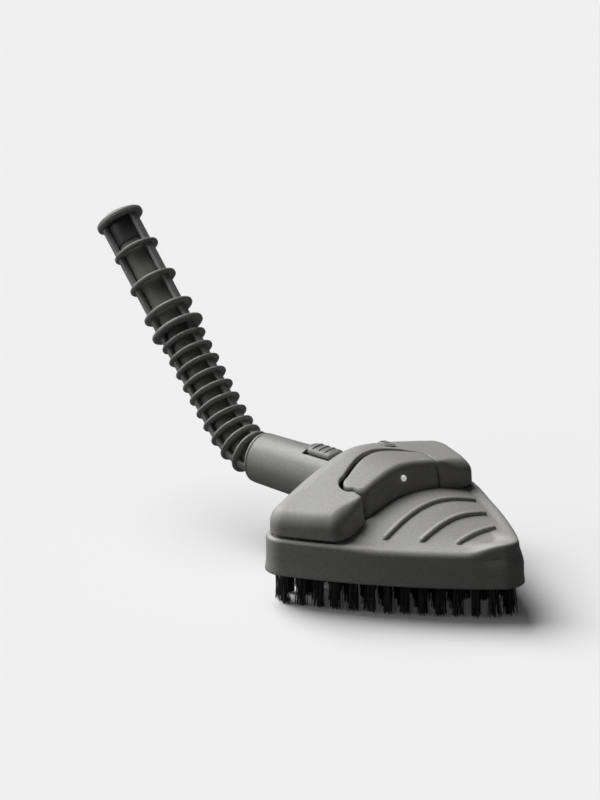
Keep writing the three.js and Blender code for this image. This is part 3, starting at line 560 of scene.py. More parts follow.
def along_neck(shape):
    """Turns a shape made along +Z so that it lies along -X on the neck's axis."""
    return Shape().add(shape, Matrix.Translation((0, 0, NECK_Z)) @ Matrix.Rotation(-math.pi / 2, 4, "Y"))


# ---------- pieces ----------

def link_new(name, data):
    """Puts a new object with this data in the scene."""
    obj = bpy.data.objects.new(name, data)
    bpy.context.scene.collection.objects.link(obj)
    return obj


def evaluated_mesh(obj):
    """The plain mesh that an object's modifiers make of it."""
    bpy.context.view_layer.update()
    graph = bpy.context.evaluated_depsgraph_get()
    return bpy.data.meshes.new_from_object(obj.evaluated_get(graph))


def to_mesh(name, shape, sharp=38):
    """Plain mesh of a shape, in metres, with edges over the sharp angle marked."""
    mesh = bpy.data.meshes.new(name)
    mesh.from_pydata([tuple(c * MM for c in point) for point in shape.points], [], shape.faces)
    work = bmesh.new()
    work.from_mesh(mesh)
    bmesh.ops.remove_doubles(work, verts=work.verts, dist=1e-7)
    bmesh.ops.recalc_face_normals(work, faces=work.faces)
    work.to_mesh(mesh)
    work.free()
    mesh.set_sharp_from_angle(angle=math.radians(sharp))
    return mesh


def mark_edges(mesh):
    """Stores how sharply each point bulges outward, for the wear in the finishes."""
    work = bmesh.new()
    work.from_mesh(mesh)
    bulge = np.zeros(len(work.verts))
    for edge in work.edges:
        if len(edge.link_faces) != 2:
            continue
        first, second = edge.link_faces
        apart = (first.calc_center_median() - second.calc_center_median()).length
        turn = edge.calc_face_angle_signed(0) / max(apart, 1e-5) * MM
        for vert in edge.verts:
            bulge[vert.index] = max(bulge[vert.index], turn)
    work.free()
    attribute = mesh.attributes.new("edge_bulge", "FLOAT", "POINT")
    attribute.data.foreach_set("value", np.clip(bulge, 0, 1).astype(np.float32))


def piece(name, shape, finish, nodes=(), sharp=38):
    """Makes a finished object from a shape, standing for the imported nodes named."""
    mesh = to_mesh(name, shape, sharp) if isinstance(shape, Shape) else shape
    mark_edges(mesh)
    mesh.materials.clear()
    mesh.materials.append(finish)
    obj = link_new(name, mesh)
    if nodes:
        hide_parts(*nodes)
    return obj


def repaint(nodes, finish):
    """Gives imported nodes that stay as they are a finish."""
    for name in nodes:
        obj = frame["nodes"][name]
        obj.data.materials.clear()
        obj.data.materials.append(finish)


def cut(obj, cutters):
    """Cuts shapes out of an object."""
    for cutter in cutters:
        tool = link_new("cutter", to_mesh("cutter", cutter))
        modifier = obj.modifiers.new("Cut", "BOOLEAN")
        modifier.operation = "DIFFERENCE"
        modifier.solver = "EXACT"
        modifier.object = tool
        mesh = evaluated_mesh(obj)
        obj.modifiers.clear()
        obj.data = mesh
        bpy.data.objects.remove(tool)


# ---------- shared node groups ----------

def wire(tree, kind, options=None, first=(), **values):
    """Adds a node with its options, and values or links for its first inputs and for others by name."""
    made = tree.nodes.new(kind)
    for key, value in (options or {}).items():
        setattr(made, key, value)
    given = list(enumerate(first)) + [(key.replace("_", " "), value) for key, value in values.items()]
    for key, value in given:
        if isinstance(value, bpy.types.NodeSocket):
            tree.links.new(value, made.inputs[key])
        elif value is not None:
            made.inputs[key].default_value = value
    return made


def calc(tree, operation, *values):
    return wire(tree, "ShaderNodeMath", {"operation": operation}, values).outputs[0]


def remap(tree, value, low, high, to_low=0.0, to_high=1.0):
    return wire(tree, "ShaderNodeMapRange", None, (value, low, high, to_low, to_high)).outputs[0]


def noise(tree, place, scale, detail=2.0, roughness=0.5):
    return wire(tree, "ShaderNodeTexNoise", None, (), Vector=place, Scale=scale, Detail=detail,
                Roughness=roughness).outputs["Fac"]


def new_group(name, kind, inputs, outputs):
    tree = bpy.data.node_groups.new(name, kind)
    for socket_name, socket_type, default in inputs:
        socket = tree.interface.new_socket(socket_name, in_out="INPUT", socket_type=socket_type)
        if default is not None:
            socket.default_value = default
    for socket_name, socket_type in outputs:
        tree.interface.new_socket(socket_name, in_out="OUTPUT", socket_type=socket_type)
    return tree, tree.nodes.new("NodeGroupInput").outputs, tree.nodes.new("NodeGroupOutput").inputs


def grain_group():
    """Fine eroded texture of a mould: pits of one width, deeper and shallower in patches."""
    tree, given, out = new_group(
        "Moulded grain", "ShaderNodeTree",
        [("Width", "NodeSocketFloat", 0.0004), ("Depth", "NodeSocketFloat", 1.0)],
        [("Height", "NodeSocketFloat"), ("Tone", "NodeSocketFloat")])
    place = tree.nodes.new("ShaderNodeTexCoord").outputs["Object"]
    scale = calc(tree, "DIVIDE", 1.0, given["Width"])
    pits = wire(tree, "ShaderNodeTexVoronoi", {"feature": "SMOOTH_F1"}, (), Vector=place, Scale=scale,
                Smoothness=0.6).outputs["Distance"]
    fine = noise(tree, place, calc(tree, "MULTIPLY", scale, 0.8), 3.0, 0.6)
    patches = remap(tree, noise(tree, place, 90.0), 0.3, 0.7, 0.7, 1.0)
    height = calc(tree, "MULTIPLY", calc(tree, "ADD", pits, fine), patches)
    tree.links.new(calc(tree, "MULTIPLY", height, given["Depth"]), out["Height"])
    tree.links.new(remap(tree, fine, 0.36, 0.64), out["Tone"])


def handling_group():
    """Where hands and carpet have worn a piece: rubbed edges, polished patches and faint scuffs."""
    tree, given, out = new_group(
        "Handling marks", "ShaderNodeTree", [("Amount", "NodeSocketFloat", 1.0)],
        [("Rub", "NodeSocketFloat"), ("Polish", "NodeSocketFloat"), ("Scuffs", "NodeSocketFloat")])
    place = tree.nodes.new("ShaderNodeTexCoord").outputs["Object"]
    bulge = wire(tree, "ShaderNodeAttribute", {"attribute_name": "edge_bulge"}).outputs["Fac"]
    broken = remap(tree, noise(tree, place, 260.0, 4.0, 0.65), 0.42, 0.62)
    rub = calc(tree, "MULTIPLY", remap(tree, bulge, 0.12, 0.9), broken)
    tree.links.new(calc(tree, "MULTIPLY", rub, given["Amount"]), out["Rub"])
    polish = remap(tree, noise(tree, place, 24.0, 3.0, 0.55), 0.35, 0.7)
    tree.links.new(calc(tree, "MULTIPLY", polish, given["Amount"]), out["Polish"])
    stretch = wire(tree, "ShaderNodeMapping", None, (place,), Scale=(60.0, 900.0, 500.0)).outputs[0]
    scratch = remap(tree, noise(tree, stretch, 1.0, 2.0, 0.5), 0.66, 0.74)
    patch = remap(tree, noise(tree, place, 45.0), 0.52, 0.66)
    scuffs = calc(tree, "MULTIPLY", scratch, patch)
    tree.links.new(calc(tree, "MULTIPLY", scuffs, given["Amount"]), out["Scuffs"])


def dust_group():
    """Fine dust that settles on what faces up."""
    tree, given, out = new_group(
        "Settled dust", "ShaderNodeTree",
        [("Amount", "NodeSocketFloat", 1.0)], [("Mask", "NodeSocketFloat")])
    place = tree.nodes.new("ShaderNodeTexCoord").outputs["Object"]
    facing = wire(tree, "ShaderNodeSeparateXYZ", None,
                  (tree.nodes.new("ShaderNodeNewGeometry").outputs["Normal"],)).outputs["Z"]
    specks = remap(tree, noise(tree, place, 1400.0, 2.0, 0.7), 0.58, 0.72)
    film = remap(tree, noise(tree, place, 55.0, 3.0), 0.4, 0.75, 0.1, 0.5)
    cover = calc(tree, "MULTIPLY", remap(tree, facing, 0.3, 1.0), calc(tree, "ADD", specks, film))
    tree.links.new(calc(tree, "MULTIPLY", cover, given["Amount"]), out["Mask"])


def use_group(tree, group, **values):
    made = wire(tree, "ShaderNodeGroup", {"node_tree": group})
    for key, value in values.items():
        made.inputs[key].default_value = value
    return made.outputs


def blend_colour(tree, share, first, second):
    made = tree.nodes.new("ShaderNodeMix")
    made.data_type = "RGBA"
    for index, value in ((0, share), (6, first), (7, second)):
        if isinstance(value, bpy.types.NodeSocket):
            tree.links.new(value, made.inputs[index])
        else:
            made.inputs[index].default_value = value
    return made.outputs[2]


def finish(name, colour, rough=0.5, grain=1.0, width=0.00042, wear=0.6, dust=0.2, metal=0.0, coat=0.0,
           depth=0.00006, ior=1.48, glow=0.0):
    """A moulded, painted or turned surface with grain, wear and dust; glow adds a painted glow in the
    surface's own colour.
    """
    made = bpy.data.materials.get(name)
    if made:
        return made
    made = bpy.data.materials.new(name)
    made.use_nodes = True
    tree = made.node_tree
    tree.nodes.clear()
    grains = use_group(tree, bpy.data.node_groups["Moulded grain"], Width=width, Depth=grain)
    marks = use_group(tree, bpy.data.node_groups["Handling marks"], Amount=wear)
    dusty = use_group(tree, bpy.data.node_groups["Settled dust"], Amount=dust)
    pale = tuple(min(c * 1.5 + 0.02, 1) for c in colour) + (1,)
    deep = tuple(c * 0.86 for c in colour) + (1,)
    tone = blend_colour(tree, grains["Tone"], deep, tuple(c * 1.14 for c in colour) + (1,))
    tone = blend_colour(tree, calc(tree, "MULTIPLY", marks["Polish"], 0.25), tone, deep)
    tone = blend_colour(tree, calc(tree, "MULTIPLY", marks["Rub"], 0.5), tone, pale)
    tone = blend_colour(tree, calc(tree, "MULTIPLY", marks["Scuffs"], 0.35), tone, pale)
    tone = blend_colour(tree, calc(tree, "MULTIPLY", dusty["Mask"], 0.5), tone, (0.5, 0.49, 0.47, 1))
    gloss = calc(tree, "SUBTRACT", rough, calc(tree, "MULTIPLY", marks["Polish"], 0.1))
    gloss = calc(tree, "SUBTRACT", gloss, calc(tree, "MULTIPLY", marks["Rub"], 0.12))
    gloss = calc(tree, "ADD", gloss, calc(tree, "MULTIPLY", dusty["Mask"], 0.3))
    lift = calc(tree, "SUBTRACT", grains["Height"], calc(tree, "MULTIPLY", marks["Scuffs"], 0.8))
    bump = wire(tree, "ShaderNodeBump", None, (), Strength=0.55, Distance=depth, Height=lift).outputs[0]
    # Emission at glow strength is a painted glow: the part shines with its own colour, as if more brightly
    # lit.
    shader = wire(tree, "ShaderNodeBsdfPrincipled", None, (), Base_Color=tone, Roughness=gloss,
                  Normal=bump, Metallic=metal, IOR=ior, Coat_Weight=coat,
                  Emission_Color=tone, Emission_Strength=glow)
    target = tree.nodes.new("ShaderNodeOutputMaterial")
    tree.links.new(shader.outputs[0], target.inputs[0])
    return made


def settings():
    scene = bpy.context.scene
    return scene.brush_finish, scene.brush_sizes, scene.brush_studio


def moulded(name, colour, rough, grain=1.0):
    """Finish of a moulded part, in one of the head's own colours."""
    colours = settings()[0]
    return finish(name, getattr(colours, colour), rough, grain=grain, width=colours.grain)


def metal(name, colour, rough):
    return finish(name, colour, rough, grain=0.4, width=0.0003, metal=1.0, depth=0.00003)


def shell_finish():
    return moulded("Housing plastic", "shell", 0.5)


def lever_finish():
    return moulded("Lever plastic", "lever", 0.48)


def neck_finish():
    return moulded("Neck plastic", "neck", 0.46, grain=0.5)


def boot_finish():
    return finish("Boot rubber", settings()[0].boot, 0.42, grain=0.6, width=0.0006, wear=0.8, coat=0.1)


def hose_finish():
    return finish("Hose rubber", (0.21, 0.207, 0.2), 0.5, grain=0.8, width=0.0005, wear=0.3)


def steel_finish():
    return metal("Zinc plated steel", (0.62, 0.62, 0.63), 0.32)


def brass_finish():
    return metal("Turned brass", (0.72, 0.53, 0.24), 0.3)


# ---------- geometry node trees ----------

def geometry_tree(name, inputs):
    """A new geometry tree, with sockets for its geometry, its own inputs and its material."""
    return new_group(
        name, "GeometryNodeTree",
        [("Geometry", "NodeSocketGeometry", None), *inputs, ("Material", "NodeSocketMaterial", None)],
        [("Geometry", "NodeSocketGeometry")])


def close_tree(tree, given, out, geometry):
    """Ends a geometry tree in real geometry with the material given."""
    real = wire(tree, "GeometryNodeRealizeInstances", None, (geometry,)).outputs[0]
    painted = wire(tree, "GeometryNodeSetMaterial", None, (), Geometry=real, Material=given["Material"])
    tree.links.new(painted.outputs[0], out["Geometry"])


def scatter_tree():
    """Copies of one object on points, turned by the points' lean and a little at random."""
    tree, given, out = geometry_tree("Scatter on points", [
        ("Copy", "NodeSocketObject", None), ("Tilt", "NodeSocketFloat", 0.0),
        ("Spin", "NodeSocketFloat", 0.0), ("Shortest", "NodeSocketFloat", 1.0), ("Seed", "NodeSocketInt", 1)])
    source = wire(tree, "GeometryNodeObjectInfo", None, (), Object=given["Copy"]).outputs["Geometry"]
    lean_back = calc(tree, "MULTIPLY", given["Tilt"], -1.0)
    spin_back = calc(tree, "MULTIPLY", given["Spin"], -1.0)
    low = wire(tree, "ShaderNodeCombineXYZ", None, (lean_back, lean_back, spin_back))
    high = wire(tree, "ShaderNodeCombineXYZ", None, (given["Tilt"], given["Tilt"], given["Spin"]))
    turn = tree.nodes.new("FunctionNodeRandomValue")
    turn.data_type = "FLOAT_VECTOR"
    tree.links.new(low.outputs[0], turn.inputs[0])
    tree.links.new(high.outputs[0], turn.inputs[1])
    tree.links.new(given["Seed"], turn.inputs["Seed"])
    lean = wire(tree, "GeometryNodeInputNamedAttribute", {"data_type": "FLOAT_VECTOR"}, (), Name="lean")
    facing = wire(tree, "ShaderNodeVectorMath", {"operation": "ADD"}, (lean.outputs[0], turn.outputs[0]))
    size = wire(tree, "FunctionNodeRandomValue", {"data_type": "FLOAT"})
    tree.links.new(given["Shortest"], size.inputs[2])
    size.inputs[3].default_value = 1.0
    tree.links.new(calc(tree, "ADD", given["Seed"], 7.0), size.inputs["Seed"])
    stretch = wire(tree, "ShaderNodeCombineXYZ", None, (1.0, 1.0, size.outputs[1]))
    copies = wire(tree, "GeometryNodeInstanceOnPoints", None, (), Points=given["Geometry"], Instance=source,
                  Rotation=facing.outputs[0], Scale=stretch.outputs[0])
    close_tree(tree, given, out, copies.outputs[0])


def coil_tree():
    """A wire wound into a compression spring."""
    tree, given, out = geometry_tree("Wound spring", [
        ("Radius", "NodeSocketFloat", 0.003), ("Wire", "NodeSocketFloat", 0.0003),
        ("Height", "NodeSocketFloat", 0.004), ("Turns", "NodeSocketFloat", 3.0)])
    path = wire(tree, "GeometryNodeCurveSpiral", None, (), Resolution=28, Rotations=given["Turns"],
                Start_Radius=given["Radius"], End_Radius=given["Radius"], Height=given["Height"])
    section = wire(tree, "GeometryNodeCurvePrimitiveCircle", None, (), Resolution=10, Radius=given["Wire"])
    wound = wire(tree, "GeometryNodeCurveToMesh", None, (), Curve=path.outputs[0],
                 Profile_Curve=section.outputs[0], Fill_Caps=True)
    close_tree(tree, given, out, wound.outputs[0])


def around_tree():
    """Copies of one object turned evenly about an axis."""
    tree, given, out = geometry_tree("Around an axis", [
        ("Copy", "NodeSocketObject", None), ("Count", "NodeSocketInt", 3), ("First", "NodeSocketFloat", 0.0)])
    source = wire(tree, "GeometryNodeObjectInfo", None, (), Object=given["Copy"]).outputs["Geometry"]
    points = wire(tree, "GeometryNodeMeshLine", None, (), Count=given["Count"])
    points.inputs["Offset"].default_value = (0, 0, 0)
    index = tree.nodes.new("GeometryNodeInputIndex").outputs[0]
    turn = calc(tree, "ADD", given["First"],
                calc(tree, "MULTIPLY", index, calc(tree, "DIVIDE", 2 * math.pi, given["Count"])))
    facing = wire(tree, "ShaderNodeCombineXYZ", None, (0.0, 0.0, turn))
    copies = wire(tree, "GeometryNodeInstanceOnPoints", None, (), Points=points.outputs[0], Instance=source,
                  Rotation=facing.outputs[0])
    close_tree(tree, given, out, copies.outputs[0])


def grown(tree_name, seed_mesh=None, **values):
    """Runs a geometry tree and returns the plain mesh it makes."""
    holder = link_new("holder", seed_mesh or bpy.data.meshes.new("holder"))
    modifier = holder.modifiers.new("Grow", "NODES")
    tree = bpy.data.node_groups[tree_name]
    modifier.node_group = tree
    names = {item.name: item.identifier for item in tree.interface.items_tree if item.in_out == "INPUT"}
    for key, value in values.items():
        modifier[names[key]] = value
    mesh = evaluated_mesh(holder)
    bpy.data.objects.remove(holder)
    for polygon in mesh.polygons:
        polygon.use_smooth = True
    mesh.set_sharp_from_angle(angle=math.radians(40))
    return mesh


def copied(tree_name, shape, seed_mesh=None, **values):
    """Runs a geometry tree that copies a shape, and returns the plain mesh it makes."""
    copy = link_new("copy", to_mesh("copy", shape))
    mesh = grown(tree_name, seed_mesh, Copy=copy, **values)
    bpy.data.objects.remove(copy)
    return mesh


def points_mesh(places, leans):
    """Loose points in millimetres, each with the turn that a copy on it takes."""
    mesh = bpy.data.meshes.new("places")
    mesh.from_pydata([tuple(c * MM for c in place) for place in places], [], [])
    attribute = mesh.attributes.new("lean", "FLOAT_VECTOR", "POINT")
    attribute.data.foreach_set("vector", np.array(leans, np.float32).ravel())
    return mesh


# ---------- head ----------

def base_shape():
    """Skirt, deck and nose lip, closed over the hollow that holds the brush plate."""
    lip = settings()[1].nose_lip / MM
    edge = head_outline(0)
    nose = smooth((edge[:, 0] - NOSE_START) / NOSE_RUN)
    front = smooth((edge[:, 0] + 4) / 24)
    reach = 2.4 + 2.8 * front
    fall = 2.0 + 2.4 * front
    normals = side_normals(edge)

    def level(inset, z):
        plan = edge - normals * np.asarray(inset)[..., None]
        return np.column_stack((plan, np.broadcast_to(z, len(edge))))

    ceiling = SKIRT_TOP - SHELL_WALL
    rings = [np.column_stack((head_outline(SHELL_WALL) * share, np.full(len(edge), ceiling)))
             for share in (0.3, 0.7)]
    rings.append(level(SHELL_WALL, ceiling))
    rings += [level(inset, SKIRT_FOOT + height) for inset, height in SKIRT_PROFILE]
    scoop = NOSE_SCOOP * nose
    rings += [level(scoop * 0.25, SKIRT_TOP - 6.5), level(scoop * 0.8, SKIRT_TOP - 5.4 + nose)]
    for step, turn in enumerate(quarter_turn(EDGE_STEPS)):
        rings.append(level(scoop * (1 - step / EDGE_STEPS) + reach * (1 - math.cos(turn)),
                           SKIRT_TOP - 0.2 - fall * (1 - math.sin(turn)) + lip * nose * smooth(step / 5)))
    inner = edge - normals * reach[:, None]
    count = 76
    for step in range(1, count):
        plan = inner * (1 - step / count)
        x, y = plan[:, 0], plan[:, 1]
        away = np.linalg.norm(inner - plan, axis=1)
        bump = lip * nose * (1 - smooth(away / LIP_REACH))
        recess = RECESS_DEPTH * smooth((away - 0.5) / 1.2) * (1 - past_cover(x))
        z = deck_top(x, y) - 0.2 * (1 - smooth(away / 6)) + bump - recess
        rings.append(np.column_stack((plan, z)))
    return Shape().solid(rings)


def rib_shape(x, half_span, bow, width, height):
    """Raised rib across the deck, its middle bowed towards the lever."""
    stations = 56
    centres = []
    for i in range(stations + 1):
        y = half_span * (1 - 2 * i / stations)
        px = x - bow * math.cos(math.pi / 2 * y / half_span)
        centres.append(Vector((px, y, float(deck_height(px, y)) + 0.05)))
    return bead(centres, width / 2, height)


def ear_shape(side):
    """Ear that carries one end of the lever's pin, its top round about the pin."""
    angles = np.linspace(math.pi, 0, 15)
    outline = [(PIVOT.x - EAR_HALF, SKIRT_TOP - 1)] + [
        (PIVOT.x + EAR_HALF * math.cos(a), PIVOT.z + EAR_HALF * math.sin(a)) for a in angles] + [
        (PIVOT.x + EAR_HALF, SKIRT_TOP - 1)]
    low, high = sorted(side * reach for reach in EAR_REACH)
    return Shape().solid([[(x, y, z) for x, z in outline] for y in (low, low + 0.2, high - 0.2, high)])


def pin_hole():
    bore = lathe([(0, -40), (PIN_RADIUS + CLEARANCE, -40), (PIN_RADIUS + CLEARANCE, 40), (0, 40)], 24, 0)
    return Shape().add(bore, Matrix.Translation(PIVOT) @ Matrix.Rotation(math.pi / 2, 4, "X"))


class BRUSH_OT_base(bpy.types.Operator):
    """Builds the base shell with its ribbed deck and the ears for the lever's pin"""

    bl_idname = "brush.base"
    bl_label = "Base shell"

    def execute(self, context):
        sizes = settings()[1]
        shape = base_shape()
        for x, half_span, bow in DECK_RIBS:
            shape.add(rib_shape(x, half_span, bow, sizes.rib_width / MM, sizes.rib_height / MM))
        base = piece("base_skirt", shape, shell_finish(), ["base_shell"], 50)
        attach(base, "head")
        ears = Shape().add(ear_shape(1)).add(ear_shape(-1))
        pin_ears = piece("pin_ears", ears, shell_finish())
        cut(pin_ears, [pin_hole()])
        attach(pin_ears, "head")
        return {"FINISHED"}


def opening_plan(grow, front_x, end_grow=None):
    """Half plan of the lever or of its opening, from the front round the end to the middle of the back."""
    end_grow = grow if end_grow is None else end_grow
    radius = LEVER_END_RADIUS + end_grow
    end_y = LEVER_HALF_WIDTH - LEVER_END_RADIUS
    back = LEVER_BACK_X - grow
    start = LEVER_END_X - LEVER_END_RADIUS - grow
    knee = 0.9
    joint = np.array((LEVER_END_X + radius * math.cos(knee), end_y + radius * math.sin(knee)))
    points = [np.array((front_x + (joint[0] - front_x) * t, joint[1])) for t in np.linspace(0, 0.9, 8)]
    points += [np.array((LEVER_END_X + radius * math.cos(a), end_y + radius * math.sin(a)))
               for a in np.linspace(knee, math.pi, 22)]
    for y in np.linspace(end_y, 0, 32)[1 + 2 * (end_grow != grow):]:
        share = math.sin(math.pi / 2 * (1 - y / end_y))
        points.append(np.array((start + (back - start) * share, y)))
    return points


def cover_half(end_groove):
    """Cover's plan from the middle of the lever opening's back to the rear, for one side.

    Each point comes with how far its edge rounds, and whether it is on the outside.
    """
    side, rear, _ = SIDES
    far = CORNERS[1]
    front = np.array((-COVER_CORNER, 0.0))
    reach = side[1] - COVER_INSET - COVER_CORNER
    front[1] = side[0][1] + math.sqrt(reach ** 2 - (front[0] - side[0][0]) ** 2)
    opening = opening_plan(LEVER_GROOVE, 0, end_groove)
    turn = np.array((-GATE_CORNER, opening[0][1] + GATE_CORNER))
    half = [(point, 0.7 + 1.1 * float(smooth((point[0] + 10) / 8)), point[0] > -14)
            for point in reversed(opening) if point[0] < turn[0] - 0.4]
    half += [(turn + GATE_CORNER * np.array((math.cos(a), math.sin(a))), 2.0, True)
             for a in np.linspace(-math.pi / 2, 0, 9)]
    for t in np.linspace(0, 1, 18)[1:-1]:
        y = turn[1] + (front[1] - turn[1]) * t
        half.append((np.array((0.0, y)), 2.2 + 4.2 * float(smooth(t * 1.3)), True))
    half += [(point, 6.4 + share * 0.6, True) for point, share in zip(
        arc_points(front, COVER_CORNER, (0, front[1]), tangent(side, front, side[1]), 14, True),
        np.linspace(0, 1, 15))]
    corner_start, corner_end = tangent(side, far, side[1]), tangent(rear, far, rear[1])
    arcs = (
        (side[0], side[1] - COVER_INSET, tangent(side, front, 1), tangent(side, far, 1), 34, False),
        (far, CORNER_RADIUS - COVER_INSET, corner_start, corner_end, 16, True),
        (rear[0], rear[1] - COVER_INSET, tangent(rear, far, 1), tangent(rear, CORNERS[2], 1), 90, False),
    )
    half += [(point, COVER_EDGE, True) for arc in arcs for point in arc_points(*arc) if point[1] > 1e-6]
    return half


def cover_plan():
    """Closed plan of the cover with its lever opening, each point's edge, and which are on the outside."""
    rear = SIDES[1]
    left = cover_half(CLOSED_GROOVE)
    right = [(np.array((point[0], -point[1])), edge, outer)
             for point, edge, outer in reversed(cover_half(None))]
    middle = [(np.array((rear[0][0] - rear[1] + COVER_INSET, 0.0)), COVER_EDGE, True)]
    points, edges, outside = zip(*(left + middle + right[:-1]))
    return np.array(points), np.array(edges, float), np.array(outside)


def up_to_roof(ring, low, edge, shares):
    """Levels up a wall from low(x, y), at shares of its height and then rounding into the roof."""
    levels = [ring(0, lambda x, y, share=share: low(x, y) + (roof_height(x, y) - edge - low(x, y)) * share)
              for share in shares]
    levels += [ring(edge * (1 - math.cos(turn)), lambda x, y, turn=turn:
                    roof_height(x, y) - edge * (1 - math.sin(turn))) for turn in quarter_turn(EDGE_STEPS)]
    return levels


def cover_shape():
    """Thin-walled cover over the rear of the deck."""
    plan, edge, outer = cover_plan()
    normals = side_normals(plan)

    def ring(inset, height):
        points = plan - normals * np.asarray(inset)[..., None]
        x, y = points[:, 0], points[:, 1]
        leaned = x - arm_lean(x, y, height(x, y))
        return np.column_stack((leaned, y, height(leaned, y)))

    def under(x, y):
        return roof_height(x, y) - COVER_WALL

    def foot(x, y):
        on_deck = np.maximum(COVER_FOOT + COVER_GAP, deck_top(x, y) + CLEARANCE)
        return np.where(outer, on_deck, under(x, y))

    def foot_edge(x, y):
        return foot(x, y) + np.where(outer, 0.5, 0.3)

    shape = Shape()
    levels = [ring(0.5 * outer, foot), ring(0, foot_edge)]
    made = shape.rings(levels + up_to_roof(ring, foot_edge, edge, (0.4, 0.75)))
    shape.fill(made[-1], 2.4, lambda x, y: (x, y, roof_height(x, y)))
    # The wall thins where the arms meet the opening, so that its inside doesn't cross itself.
    gate = opening_plan(LEVER_GROOVE, 0)[0][1] + GATE_CORNER
    apart = np.hypot(plan[:, 0], np.abs(plan[:, 1]) - gate)
    near = np.where(edge < 2.1, 0.1, np.clip(apart / 8, 0.1, 1))
    wall = COVER_WALL * near
    inside = shape.ring(ring(wall, foot))
    shoulder = shape.ring(ring(wall + 0.8 * near, lambda x, y: under(x, y) - 2.5 * near * outer))
    ceiling = shape.ring(ring(wall + 2.6 * near + 0.3, under))
    shape.strip(made[0], inside)
    shape.strip(inside, shoulder)
    shape.strip(shoulder, ceiling)
    shape.fill(ceiling, 5.0, lambda x, y: (x, y, under(x, y)))
    return shape


def lock_plan(grow, travel):
    """Plan of the slide lock, grown all round and stretched backwards by its travel."""
    radius = LOCK["half_width"] + grow
    straight = LOCK["length"] / 2 - LOCK["half_width"]
    ends = ((LOCK["x"] + straight, -math.pi / 2), (LOCK["x"] - straight - travel, math.pi / 2))
    return np.array([(x + radius * math.cos(a), LOCK["y"] + radius * math.sin(a))
                     for x, first in ends for a in np.linspace(first, first + math.pi, 15)])


def neck_room():
    """What the neck and its flange take up, with clearance, cut out of the cover."""
    flange, root = NECK_FLANGE_RADIUS + CLEARANCE, NECK_ROOT_RADIUS + CLEARANCE
    flange_end = -NECK_ROOT_X + NECK_FLANGE_DEPTH + CLEARANCE
    profile = [(0, 30), (flange, 30), (flange, flange_end), (root, flange_end), (root, 75), (0, 75)]
    return along_neck(lathe(profile, 64, 0))


class BRUSH_OT_cover(bpy.types.Operator):
    """Builds the rear cover with its lever opening, neck opening and the slide lock's slot"""

    bl_idname = "brush.cover"
    bl_label = "Rear cover"

    def execute(self, context):
        cover = piece("rear_cover", cover_shape(), shell_finish(), ["upper_cover"], 42)
        slot = prism(lock_plan(CLEARANCE, LOCK["travel"] + CLEARANCE), COVER_FOOT + 8, ROOF_CREST + 5)
        cut(cover, [slot, neck_room()])
        cover.data.set_sharp_from_angle(angle=math.radians(42))
        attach(cover, "head")
        return {"FINISHED"}


def lever_plan():
    half = opening_plan(0, LEVER_FRONT_X)
    centre = np.array((LEVER_FRONT_X - LEVER_CORNER, half[0][1] - LEVER_CORNER))
    half = [centre + LEVER_CORNER * np.array((math.cos(a), math.sin(a)))
            for a in np.linspace(0, math.pi / 2, 9)] + [point for point in half if point[0] < centre[0] - 0.3]
    front = [np.array((LEVER_FRONT_X, y)) for y in np.linspace(-centre[1], centre[1], 30)[1:-1]]
    mirrored = [np.array((point[0], -point[1])) for point in reversed(half[:-1])]
    return np.array(half + mirrored + front)


def lever_shape():
    """Thin-walled lever, its front leaning back and its top flush with the cover."""
    plan = lever_plan()
    edge = LEVER_EDGE + LEVER_EDGE * smooth((plan[:, 0] + 12) / 7)

    def ring(inset, height):
        x, y = plan[:, 0], plan[:, 1]
        leaned = np.column_stack((x - lever_lean(x, height(x, y)), y))
        points = leaned - side_normals(leaned) * np.asarray(inset)[..., None]
        return np.column_stack((points, height(points[:, 0], points[:, 1])))

    def foot(x, y):
        return deck_height(x, y) - 2.2 + 6 * smooth((-8 - x) / 6)

    def under(x, y):
        return roof_height(x, y) - LEVER_WALL - 1.2

    shape = Shape()
    levels = [ring(0.4, foot), ring(0, lambda x, y: foot(x, y) + 0.4)]
    made = shape.rings(levels + up_to_roof(ring, foot, edge, (0.3, 0.5, 0.7, 0.85)))
    shape.fill(made[-1], 2.0, lambda x, y: (x, y, roof_height(x, y)))
    inside = shape.ring(ring(LEVER_WALL, foot))
    ceiling = shape.ring(ring(LEVER_WALL, lambda x, y: np.maximum(under(x, y), foot(x, y) + 0.4)))
    shape.strip(made[0], inside)
    shape.strip(inside, ceiling)
    shape.fill(ceiling, 4.0, lambda x, y: (x, y, under(x, y)))
    return shape


def rounded_bar(x0, x1, y0, y1, z0, z1):
    """Upright bar with rounded corners and a rounded foot."""
    radius = 0.5
    middle = np.array(((x0 + x1) / 2, (y0 + y1) / 2))
    outline = []
    for index, corner in enumerate(((x1, y1), (x0, y1), (x0, y0), (x1, y0))):
        centre = np.array(corner) + np.sign(middle - corner) * radius
        outline += [centre + radius * np.array((math.cos(a), math.sin(a)))
                    for a in np.linspace(index * math.pi / 2, (index + 1) * math.pi / 2, 5)]
    outline = np.array(outline)
    small = middle + (outline - middle) * 0.8
    return Shape().solid([np.column_stack((plan, np.full(len(plan), z)))
                          for plan, z in ((small, z0), (outline, z0 + 0.4), (outline, z1))])


def lug_shape():
    """The pusher over the valve and the two lugs that turn on the pin, all under the lever's roof."""
    def under(x, y):
        return float(roof_height(x, y)) - LEVER_WALL - 0.7

    cap_top = node_top("valve_plunger")
    lugs = Shape().add(rounded_bar(-14.4, -11.2, -3, 3, cap_top + 0.4, under(-12.8, 3)))
    for side in (1, -1):
        low, high = sorted(side * reach for reach in LUG_REACH)
        lugs.add(rounded_bar(PIVOT.x - EAR_HALF, PIVOT.x + EAR_HALF, low, high, PIVOT.z - EAR_HALF,
                             under(PIVOT.x, LUG_REACH[1])))
    return lugs


